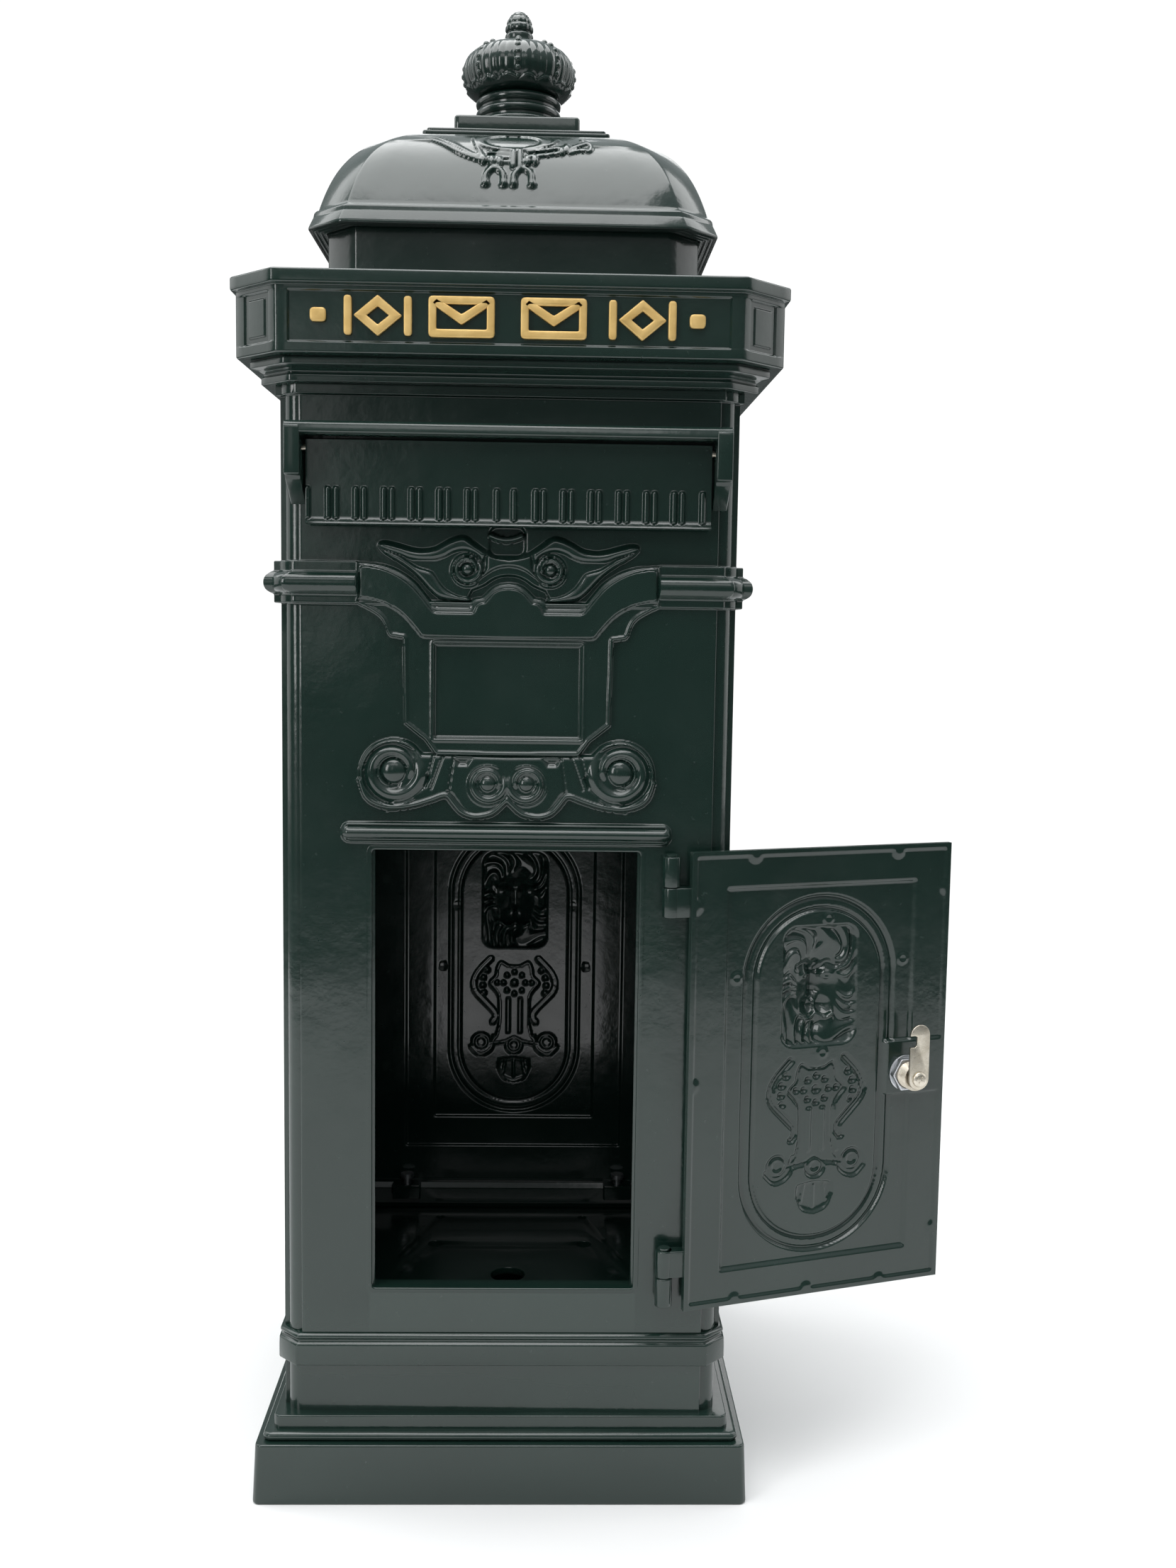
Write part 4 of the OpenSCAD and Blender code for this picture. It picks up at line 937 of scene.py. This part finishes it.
def base(bm):
    # Foot, bead and step
    foot = soften([(160.6, 0, 3), (BASE_HALF - 0.4, 0, 3), (BASE_HALF, 1.2, 3), (164.6, 41, 3),
                   (157.0, 41.1, 3.5)], 1.2)
    rounds = [(157.2 + 3.0 * math.sin(a), 44.1 - 3.0 * math.cos(a), 3.5) for a in np.linspace(0.1, math.pi - 0.1, 8)]
    step = soften([(153.7, 47.2, 3), (153.4, 56.2, 3), (138, 56.3, 3)], 1.0)
    outer = np.concatenate([foot, rounds, step])
    inner = spread([(160.3, 0.3, 3), (160.3, 36, 3), (144.6, 36.5, 15), (136, 55, 15)], len(outer))
    sheet_of(bm, octagon_grid(outer, SQUARE), octagon_grid(inner, SQUARE), wrap=True)
    # Lower body with its corner columns
    skins = [np.array([ring_at(body_loop(scale), z) for z in (54.0, 58.0, 74.0, 91.5)]) for scale in (1.0, 0.972)]
    sheet_of(bm, *skins, wrap=True, edge=0.4)
    # Band that carries the panels
    outer = soften([(140, 90.6, 12), (152.2, 90.8, 13.5), (152.2, 99, 13.5), (152.0, 105.4, 13.5), (150.2, 106.6, 13.2),
                    (150.2, 108.6, 13.2), (151.3, 109.6, 13.3), (151.3, 111.2, 13.3), (149.6, 112.6, 13),
                    (140, 113, 12)], 0.9)
    inner = soften([(139, 91, 11), (137.5, 95, 11), (137.5, 104, 11), (137.5, 108, 11), (139, 112.6, 11)], 0.5)
    sheet_of(bm, octagon_grid(outer, SQUARE), octagon_grid(spread(inner, len(outer)), SQUARE), wrap=True)
    # Floor with its drain, anchor bosses and two weep holes
    anchors = [(x, y) for x in (-60, 60) for y in (-60, 60)]
    holes = [circle(0, 0, 13), *[circle(x, y, 6, 32) for x, y in anchors],
             *[circle(x, 118, 3.5, 24) for x in (-60, 60)]]
    plate(bm, [rectangle(0, 0, 289, 289, 12), *holes], 5, lifted(87.5), 0.5)
    for x, y in anchors:
        plate(bm, [circle(x, y, 13), circle(x, y, 6, 32)], 86, lifted(43), 0.5)
    lugs(bm, 101, 113)


def frieze_relief(side, along, z):
    """Sunk field of each frieze face, and of each corner cut with its tray."""
    def sunk(half, low, high, slope):
        inside = smooth((half - np.abs(along)) / slope + 0.5)
        return inside * smooth((z - low) / 1.2 + 0.5) * smooth((high - z) / 1.2 + 0.5)

    if side % 2 == 0:
        return -1.9 * sunk(137.0, 762.5, 793.5, 1.2)
    return -1.9 * (sunk(13.2, 762.5, 793.5, 1.2) - 0.55 * sunk(8.4, 766.5, 789.5, 1.1))


def cornice(bm):
    face_rows = (756.6, 761.6, 763.4, 765.7, 767.3, 778, 788.7, 790.3, 792.6, 794.4, 796.6)
    outer = [(150, 740.1, 15), (160, 740.4, 21), (160, 744.6, 21), (158.8, 745.6, 20.5), (158.8, 746.8, 20.5),
             (161.5, 748.6, 22), (166.8, 750.0, 25), (166.8, 754.2, 25), (165.4, 755.2, 24.6), (174.2, 755.6, 29.5),
             *((174.7, z, 29.7) for z in face_rows), (177.6, 797.4, 30.9), (178, 798.6, 31), (178, 805.2, 31),
             (177, 806, 30.6), (173.2, 806, 29.2)]
    inner = [(128, 740.4, 4), (128, 748, 4), (161.7, 748.6, 25), (161.7, 800, 25), (172.9, 802, 28.8),
             (172.9, 805.6, 28.8)]
    fractions = both_sides(0.5, 0.946, 0.9515, 0.955, 1), both_sides(0.36, 0.40, 0.44, 0.59, 0.625, 0.66, 1)
    casting(bm, outer, inner, fractions, frieze_relief, 0.6)


def roof_curb(bm):
    outer = [(150, 802.2, 20), (172.6, 802.3, 28.7), (172.6, 805.9, 28.7), (127.5, 806.2, 21.8), (126.4, 810.6, 21.5),
             (122.3, 811.6, 20.2), (122, 816, 20), (122, 846, 20), (122, 851.6, 20), (110, 851.8, 17)]
    inner = [(118, 802.4, 18.5), (118, 830, 18.5), (118, 846.8, 18.5), (104, 847.2, 16), (104, 851.4, 16)]
    casting(bm, outer, inner, radius=1.0)


def garland(side, along, z):
    """Cast garland over the front of the dome: two ribbons, a tablet and four hanging tails."""
    if side != 0 or z < 868 or z > 914:
        return 0
    x = np.asarray(along, float)
    z = np.full_like(x, z)
    ribbons = [([(-58, 908.5), (-47, 903), (-34, 894.5), (-21, 889.5)], 2.0, 2.6),
               ([(-52, 909.5), (-41, 903.0), (-28, 894.5), (-20, 892.5)], 1.7, 2.2),
               ([(-27, 909), (-24.5, 901), (-21, 893)], 1.5, 2.2), ([(9, 897.5), (20, 899), (29, 901)], 1.6, 2.4),
               ([(9, 893.2), (20, 894.6), (29, 896.5)], 1.6, 2.4), ([(34, 899), (42, 903.5), (47.5, 906.5)], 2.0, 2.6),
               ([(36, 897.0), (44, 899.5), (49, 899.0), (50, 904.5), (44.5, 909)], 1.7, 2.4),
               ([(28, 909), (22, 903.5), (10, 900.5)], 1.5, 2.0)]
    parts = [cord(x, z, curve(points, 5), half, rise) for points, half, rise in ribbons]
    # Two hanging loops with curled ends
    for left in (-18.0, 0.2):
        loop = [(0, 873.6), (0.2, 879.5), (5.2, 884.2), (10.6, 880.5), (11.4, 873.4)]
        parts.append(cord(x, z, curve([(left + lx, lz) for lx, lz in loop], 6), 2.0, 2.8))
        parts += [knob(x, z, end, 873.0, 2.6, 3.2) for end in (left - 0.2, left + 11.6)]
    # Oval basket rim over three cords, knots and two posts
    rim = np.hypot((x + 1.5) / 22.0, (z - 906.5) / 8.0)
    parts += [np.zeros(len(x)), bead((rim - 1) * 9.0, 1.7, 2.2)]
    parts += [cord(x, z, [(-17, level), (-2, level - 0.4)], 1.3, 1.8) for level in (889.0, 892.2, 895.6)]
    knots = ((-20, 890.5), (-14.5, 889.5), (-9.5, 889.0), (13.5, 890.5), (8.5, 889.8), (31, 898.5), (34.5, 901))
    parts += [bead(np.hypot(x - kx, (z - kz) * 0.62), 2.7, 3.6) for kx, kz in knots]
    parts += [cord(x, z, [(post, 885.5), (post, 897.5)], 2.0, 3.4) for post in (-0.5, 3.8)]
    return highest(*parts)


CUT_SHARE = 0.172                             # corner cut of the dome as a share of its half width


def roof_dome(bm):
    """Domed roof with a moulded rim and three beads under its eaves."""
    under = [(116, 851.9)]
    for k in range(3):
        under += [(124.2 + 3.3 * k + 1.5 * math.sin(a), 845.6 - 1.6 * math.cos(a)) for a in np.linspace(-1.4, 1.4, 5)]
    rim = soften([(133, 845.4), (133.3, 844.2), (134, 844.3), (134, 846.0), (131.6, 851.9), (131.2, 852.6),
                  (130.6, 855.8), (129.6, 857.0), (128.4, 857.4)], 0.7, 2)
    shell = bezier(np.linspace(0.02, 1, 58)[:, None], *np.array([(128.5, 856), (118, 893), (104, 911), (64, 920.5)]))
    outer = np.concatenate([under, rim, shell])
    inner = outer - 4.2
    inner[:, 0] = np.minimum(inner[:, 0], 124.0)
    inner[:, 1] = np.maximum(inner[:, 1], 852.4)
    eaves = len(under) + len(rim)
    inner[:eaves, 0] = np.linspace(114, 123.5, eaves)
    inner[:eaves, 1] = np.linspace(852.2, 853.4, eaves)
    outer, inner = (np.column_stack([skin, skin[:, 0] * CUT_SHARE]) for skin in (outer, inner))
    columns = (np.concatenate([[-1, -0.85], np.linspace(-0.68, 0.62, 128), [0.8, 1]]), even(3))
    sheet_of(bm, octagon_grid(outer, columns, garland, 1.6), octagon_grid(inner, columns, None, 1.6), wrap=True)


def roof_cap(bm):
    for size, thick, z in ((127.5, 3.1, 922.05), (122, 2.7, 924.75)):
        plate(bm, [rectangle(0, 0, size, size, 3)], thick, lifted(z), 0.9)


def finial_base(bm):
    plate(bm, [rectangle(0, 0, 87, 87, 4)], 15, lifted(933), 1.8)
    rings = [(27.5 + 3.0 * math.sin(a), 944.4 + 7.7 * k - 3.3 * math.cos(a)) for k in range(3)
             for a in np.linspace(0.25, math.pi - 0.25, 9)]
    turned(bm, [(24, 939.6), (31.5, 940.3), (31.6, 941.0), *rings, (26, 964)], count=112)


RIBS = 8
PLEATS_RISE = TOP_Z - 25.2 - CROWN_Z


def pleated(angles, r, z):
    """The crown's radius: fine pleats that fade out at both ends, over a scalloped hem."""
    share = (z - CROWN_Z) / PLEATS_RISE
    depth = 0.62 * smooth(share / 0.3) * smooth((1.0 - share) / 0.2)
    fold = np.abs(np.cos(angles * RIBS * 2.5)) + 0.35 * np.sin(angles * 13 + 1.0)
    wave = np.abs(np.sin(angles * RIBS + 0.2 * np.sin(angles * 5)))
    hem = 1.5 * smooth((0.13 + 0.09 * wave - share) / 0.05)
    return r + depth * (fold - 0.8) + hem * smooth(share / 0.04)


def beaded(angles, r, z):
    """The acorn's radius, with beads round its middle."""
    return r + 0.75 * np.abs(np.cos(angles * 6)) * (z > TOP_Z - 14.5) * (z < TOP_Z - 3)


def crown(bm):
    """Pleated crown with eight beaded ribs, a scalloped border and a beaded acorn tip."""
    t = np.linspace(0, 1, 48)
    radii = bezier(t, 28.0, 45.5, 47.0, 12)
    heights = CROWN_Z + PLEATS_RISE * bezier(t, 0, 0.14, 1.03, 1)
    turned(bm, [(10, CROWN_Z + 0.2), *zip(radii, heights), (8, TOP_Z - 25.0)], count=448, shape=pleated)
    for rib in range(RIBS):
        angle = math.radians(360 / RIBS * rib) - math.pi / 2
        for share in np.linspace(0.2, 0.93, 8):
            r, z = np.interp(share, t, radii) - 1.5, np.interp(share, t, heights)
            size = 2.7 - 1.0 * abs(share - 0.45)
            ball(bm, (r * math.cos(angle), r * math.sin(angle), z), size)
    # Rows of the acorn: radius, and depth below the top
    acorn = [(13.5, 26), (12.6, 24.6), (10.6, 22.8), (9.9, 20.4), (10.2, 17.4), (9.5, 15.8), (8.2, 15.2), (9.3, 13.6),
             (9.2, 10.6), (8.0, 9.4), (8.4, 8.2), (7.4, 5.4), (6.0, 4.3), (6.1, 3.4), (4.4, 1.4), (2.2, 0.4),
             (0.3, 0.3)]
    turned(bm, soften([(r, TOP_Z - down) for r, down in acorn], 0.8, 2), count=60, shape=beaded)


def along_x(x):
    """Turns X and Y of an outline into Y and Z of a plane that faces X."""
    return Matrix.Translation((x, 0, 0)) @ Matrix(((0, 0, 1, 0), (1, 0, 0, 0), (0, 1, 0, 0), (0, 0, 0, 1)))


PIVOT_Y, PIVOT_Z = HINGE[1], 699.5
HOOD_HALF, HOOD_OUT, CHEEK = 140.0, 29.0, 10.0


def on_pivot(x, side=1):
    """A place on the flap's pivot line, with +Z running to the right, or to the left where side is -1."""
    return Matrix.Translation((x, PIVOT_Y, PIVOT_Z)) @ Matrix.Rotation(side * math.pi / 2, 4, "Y")


def hood(bm):
    wall, front = -BODY - 0.05, -BODY - HOOD_OUT
    beam = [(wall, 706.5), (wall, 717), (front + 3.4, 714.4), (front + 1.1, 712.6), (front, 707.6),
            (front + 1.4, 706.5),
            (front + 3.6, 706.5), (front + 4.4, 708.2), (front + 6.6, 708.4), (front + 7.2, 706.7)]
    plate(bm, [outlined(beam, 0.8, 2)], 2 * HOOD_HALF, along_x(0), 0.9)
    cheek = [(wall, 664.4), (wall, 714), (front + 0.6, 711.8), (front, 710), (front, 681.4), (front + 1.2, 681),
             (front + 5.0, 681), (front + 6.4, 678.6)]
    boss = soften([(0.02, -1.0), (5.2, -1.0), (5.0, 1.3), (0.02, 1.6)], 0.8, 2)
    for side in (-1, 1):
        plate(bm, [outlined(cheek, 0.7, 2)], CHEEK, along_x(side * (HOOD_HALF - CHEEK / 2)), 0.9)
        turned(bm, boss, count=36, place=on_pivot(side * (HOOD_HALF - 0.2), side))


FLAP_HALF, FLAP_FOOT = 128.5, 652.0
RIB_MIDDLE, RIB_STEP = -2.4, 17.6


def flap_relief(x, z):
    """Pairs of short upright ribs over a rounded lip."""
    offsets = [5.4, 125.2, *(4 + RIB_STEP * k + gap for k in range(1, 7) for gap in (-2.6, 2.6))]
    ribs = [cord(x, z, [(rib, 656.4), (rib, 673.8)], 1.95, 2.5)
            for rib in (RIB_MIDDLE + side * offset for offset in offsets for side in (-1, 1))]
    lip = 3.4 * smooth((657.0 - z) / 6.4) * smooth((z - 650.9) / 1.4)
    return highest(lip, *ribs)


def letter_flap(bm):
    xs = np.concatenate([np.arange(-FLAP_HALF, FLAP_HALF, 0.62), [FLAP_HALF]])
    zs = np.concatenate([np.arange(FLAP_FOOT - 0.4, 676.5, 0.62), np.linspace(677, PIVOT_Z + 5.0, 9)])
    x, z = np.meshgrid(xs, zs)
    back = PIVOT_Y + 1.8
    outer = np.stack([x, back - 4.3 - flap_relief(x, z), z], 2)
    sheet_of(bm, outer, np.stack([x, np.full_like(x, back), z], 2), edge=0.5)
    roll = soften([(0.02, -FLAP_HALF), (2.4, -FLAP_HALF), (2.4, FLAP_HALF), (0.02, FLAP_HALF)], 0.7)
    turned(bm, roll, count=40, place=on_pivot(0))


# ---------- badges ----------

EMBLEM_Z = 778.5
FRIEZE_FLOOR = -173.2


def badge(bm, outlines, x):
    """A flat gilt badge that stands on the floor of the frieze."""
    plate(bm, outlines, 3.0, facing_front(FRIEZE_FLOOR - 1.5, x, EMBLEM_Z), 0.9)


def emblems(bm):
    """Two envelopes between two pierced lozenges."""
    for x in (-30, 27):
        badge(bm, [rectangle(0, 0, 41, 25, 3), rectangle(0, 0, 31, 15, 1)], x)
        badge(bm, [outlined([(-19, 8), (-15.5, 11.5), (0, 1.6), (15.5, 11.5), (19, 8), (0, -4.8)], 1.0, 3)], x)
    lozenge = np.array([(-15, 0), (0, -12.5), (15, 0), (0, 12.5)])
    for x in (-81.6, 82):
        badge(bm, [outlined(lozenge, 1.0, 3), outlined(lozenge * [0.46, 0.44], 0.6, 3)], x)
        for side in (-1, 1):
            badge(bm, [rectangle(side * 18.5, 0, 5, 24, 2.4)], x)


def studs(bm):
    for x in (-118.4, 116.2):
        badge(bm, [rectangle(0, 0, 10, 8.5, 2.8)], x)


# ---------- lock, drawn with the door shut ----------

def into_box(y):
    """A place on the lock's axis at depth y, with +Z running into the box."""
    return Matrix.Translation((LOCK[0], y, LOCK[1])) @ Matrix.Rotation(-math.pi / 2, 4, "X")


def lock_body(bm):
    seat = DOOR_BACK - DOOR_T - FIELD_RISE
    end = DOOR_BACK + 15 - seat
    threads = []
    for k in range(13):
        z = DOOR_BACK + 1.2 + k * 1.05 - seat
        threads += [(9.3, z), (8.75, z + 0.52)]
    rim = [(6.1, -3), (9.8, -3), (11.5, -1.6), (11.5, 0), (9.3, 0.02), *threads, (9.0, end), (6.1, end)]
    turned(bm, rim, count=64, place=into_box(seat))


def lock_washer(bm):
    plate(bm, [circle(0, 0, 12.5), circle(0, 0, BORE)], 1.0, into_box(DOOR_BACK + 0.5), 0.25)


def lock_nut(bm):
    hexagon = outlined(circle(0, 0, 12.7, 6), 0.9, 3)
    plate(bm, [hexagon, circle(0, 0, BORE)], 5.0, into_box(DOOR_BACK + 3.5), 0.7)


CAM_W, CAM_L, CAM_Y = 15.0, 38.0, DOOR_BACK + 17.4


def lock_cam(bm):
    half = CAM_W / 2
    tip = [(half * math.cos(a), CAM_L - half + half * math.sin(a)) for a in np.linspace(0, math.pi, 22)]
    heel = [(half * math.cos(a), half * math.sin(a)) for a in np.linspace(math.pi, 2 * math.pi, 22)]
    notch = [(half - deep, z) for deep, z in ((0, 22.5), (3.6, 22.5), (5.2, 24.0), (5.2, 29.6), (3.6, 30.5), (0, 30.5))]
    plate(bm, [np.array([*tip, *heel, *notch])], 2.0, facing_front(CAM_Y, *LOCK), 0.45)


def cam_screw(bm):
    """Round head with a cross, on the cam's inner face."""
    seat = CAM_Y + 1.0
    head = soften([(0.02, 0), (5.25, 0), (5.2, 1.2), (3.6, 2.4), (0.02, 2.8)], 0.5, 3)
    turned(bm, head, count=48, place=into_box(seat))
    for turn in (0.5, 0.5 + math.pi / 2):
        spot = facing_front(seat + 2.75, *LOCK) @ Matrix.Rotation(turn, 4, "Z")
        plate(bm, [rectangle(0, 0, 5.4, 1.1, 0.4)], 0.5, spot, 0.1)


# ---------- build ----------

# Each piece: its name, shape and finish, the body it rides on, and the CAD node it replaces
PIECES = (
    ("front_casting", front_panel, "green_coat", "root", "front_panel"),
    ("back_casting", back_panel, "green_coat", "root", "back_panel"),
    ("right_casting", lambda bm: side_panel(bm, 1), "green_coat", "root", "right_panel"),
    ("left_casting", lambda bm: side_panel(bm, -1), "green_coat", "root", "left_panel"),
    ("base_casting", base, "green_coat", "root", "base"),
    ("cornice", cornice, "green_coat", "root", "cornice"),
    ("roof_curb", roof_curb, "green_coat", "root", "roof_curb"),
    ("dome_casting", roof_dome, "green_coat", "root", "roof_dome"),
    ("cap_plates", roof_cap, "green_coat", "root", "roof_cap"),
    ("finial_plinth", finial_base, "green_coat", "root", "finial_base"),
    ("crown_casting", crown, "green_coat", "root", "crown_finial"),
    ("hood_casting", hood, "green_coat", "root", "hood"),
    ("flap_casting", letter_flap, "green_coat", "flap", "letter_flap"),
    ("frieze_badges", emblems, "gold_paint", "root", "frieze_emblems"),
    ("frieze_dots", studs, "gold_paint", "root", "frieze_studs"),
    ("door_casting", door_leaf, "green_coat", "door", "door"),
    ("lock_barrel", lock_body, "nickel", "door", "lock_body"),
    ("lock_ring", lock_washer, "zinc", "door", "lock_washer"),
    ("lock_hex", lock_nut, "zinc", "door", "lock_nut"),
    ("cam_plate", lock_cam, "nickel", "lock", "lock_cam"),
    ("cam_bolt", cam_screw, "nickel", "lock", "cam_screw"),
)
DRAWN_SHUT = ("door", "lock")                 # bodies drawn with the door shut, then swung open

for name, shape, finish, body, node in PIECES:
    bm = bmesh.new()
    shape(bm)
    if body in DRAWN_SHUT:
        bm.transform(shut_to_open())
    piece = finish_mesh(name, bm, FINISHES[finish])
    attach(piece, body)
    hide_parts(node)

# The pins, screws and other small parts that are shown as CAD made them
for node, obj in frame["nodes"].items():
    if obj.hide_render:
        continue
    finish = "zinc"
    if node.startswith(("hinge_pin", "curb_screws")):
        finish = "green_coat"
    elif node.startswith(("lock", "flap_pin")):
        finish = "nickel"
    obj.data.materials.clear()
    obj.data.materials.append(FINISHES[finish])

# ---------- camera, floor and light ----------

FOCAL_SHARE = 2199.6 / 1659                   # focal length as a share of the view's width
SENSOR = 36.0
EYE = Vector((26.6, -1163.4, 588.9)) * MM
YAW, PITCH, ROLL = 0.0259, 0.1001, 0.0143
FLOOR_RADIUS = 1.7

camera = bpy.data.cameras.new("camera")
camera.sensor_fit = "HORIZONTAL"
camera.sensor_width = SENSOR
camera.lens = SENSOR * FOCAL_SHARE
camera.clip_start = 0.05
camera_object = link_object("camera", camera)
ahead = Vector((math.sin(YAW) * math.cos(PITCH), math.cos(YAW) * math.cos(PITCH), -math.sin(PITCH)))
level = Vector((math.cos(YAW), -math.sin(YAW), 0))
upward = level.cross(ahead)
right = level * math.cos(ROLL) + upward * math.sin(ROLL)
up = upward * math.cos(ROLL) - level * math.sin(ROLL)
camera_object.matrix_world = Matrix.Translation(EYE) @ Matrix((right, up, -ahead)).transposed().to_4x4()
bpy.context.scene.camera = camera_object

floor_bm = bmesh.new()
bmesh.ops.create_circle(floor_bm, cap_ends=True, segments=96, radius=FLOOR_RADIUS)
floor_mesh = bpy.data.meshes.new("floor")
floor_bm.to_mesh(floor_mesh)
floor_bm.free()
floor_paint = bpy.data.materials.new("pale_floor")
floor_paint.use_nodes = True
floor_shader = floor_paint.node_tree.nodes["Principled BSDF"]
for key, value in (("Base Color", (0.78, 0.78, 0.78, 1)), ("Roughness", 0.8), ("Specular IOR Level", 0.1)):
    floor_shader.inputs[key].default_value = value
floor_mesh.materials.append(floor_paint)
link_object("floor", floor_mesh)


def studio_world():
    """A white surround as it is seen, and a dim room with a brighter ceiling as it lights the object."""
    world = bpy.data.worlds.new("studio")
    world.use_nodes = True
    nodes, link = world.node_tree.nodes, world.node_tree.links.new
    seen = nodes["Background"]
    seen.inputs["Color"].default_value = (1, 1, 1, 1)
    seen.inputs["Strength"].default_value = 1.05
    room = nodes.new("ShaderNodeBackground")
    room.inputs["Strength"].default_value = 1.0
    split = nodes.new("ShaderNodeSeparateXYZ")
    link(nodes.new("ShaderNodeTexCoord").outputs["Generated"], split.inputs[0])
    height = nodes.new("ShaderNodeMapRange")
    height.inputs["From Min"].default_value = -1.0
    link(split.outputs["Z"], height.inputs["Value"])
    ramp = nodes.new("ShaderNodeValToRGB")
    fill_ramp(ramp.color_ramp, [(0.0, (0.10, 0.10, 0.10)), (0.54, (0.09, 0.10, 0.10)), (0.64, (0.26, 0.28, 0.28)),
                                (0.9, (0.60, 0.63, 0.65))])
    link(height.outputs["Result"], ramp.inputs["Fac"])
    link(ramp.outputs["Color"], room.inputs["Color"])
    pick = nodes.new("ShaderNodeMixShader")
    link(nodes.new("ShaderNodeLightPath").outputs["Is Camera Ray"], pick.inputs["Fac"])
    link(room.outputs[0], pick.inputs[1])
    link(seen.outputs[0], pick.inputs[2])
    link(pick.outputs[0], nodes["World Output"].inputs["Surface"])
    bpy.context.scene.world = world


def soft_light(name, where, aim, size, brightness):
    """A rectangle of light that the camera doesn't see. brightness is per area, so size doesn't change it."""
    lamp = bpy.data.lights.new(name, "AREA")
    lamp.shape = "RECTANGLE"
    lamp.size, lamp.size_y = size
    lamp.energy = brightness * math.pi * size[0] * size[1]
    obj = link_object(name, lamp)
    obj.location = where
    obj.visible_camera = False
    obj.rotation_mode = "QUATERNION"
    obj.rotation_quaternion = (Vector(aim) - Vector(where)).to_track_quat("-Z", "Y")


studio_world()
bpy.context.scene.view_settings.view_transform = "Standard"
soft_light("overhead", (-0.3, -0.4, 3.4), (0, 0, 0.6), (3.2, 3.2), 4.2)
soft_light("left_high", (-2.5, 0.9, 3.0), (0, 0, 0.9), (1.3, 1.9), 2.6)
soft_light("right_high", (2.5, 0.9, 3.0), (0, 0, 0.9), (1.3, 1.9), 2.6)
soft_light("front_top", (-0.2, -2.9, 2.5), (0, 0, 0.7), (2.4, 0.8), 1.5)
soft_light("left_window", (-2.2, -2.3, 1.3), (0, 0, 0.7), (0.8, 1.8), 6.0)
soft_light("left_glow", (-0.56, -2.4, 0.86), (-0.1, 0, 0.66), (0.34, 0.7), 0.6)
soft_light("left_panel", (-2.9, 0.7, 1.1), (0, 0, 0.6), (2.4, 2.0), 1.05)
soft_light("right_panel", (2.9, 0.6, 1.1), (0, 0, 0.6), (2.4, 2.0), 1.1)
soft_light("rear_fill", (0.4, 3.2, 2.0), (0, 0, 0.6), (2.2, 1.6), 1.3)
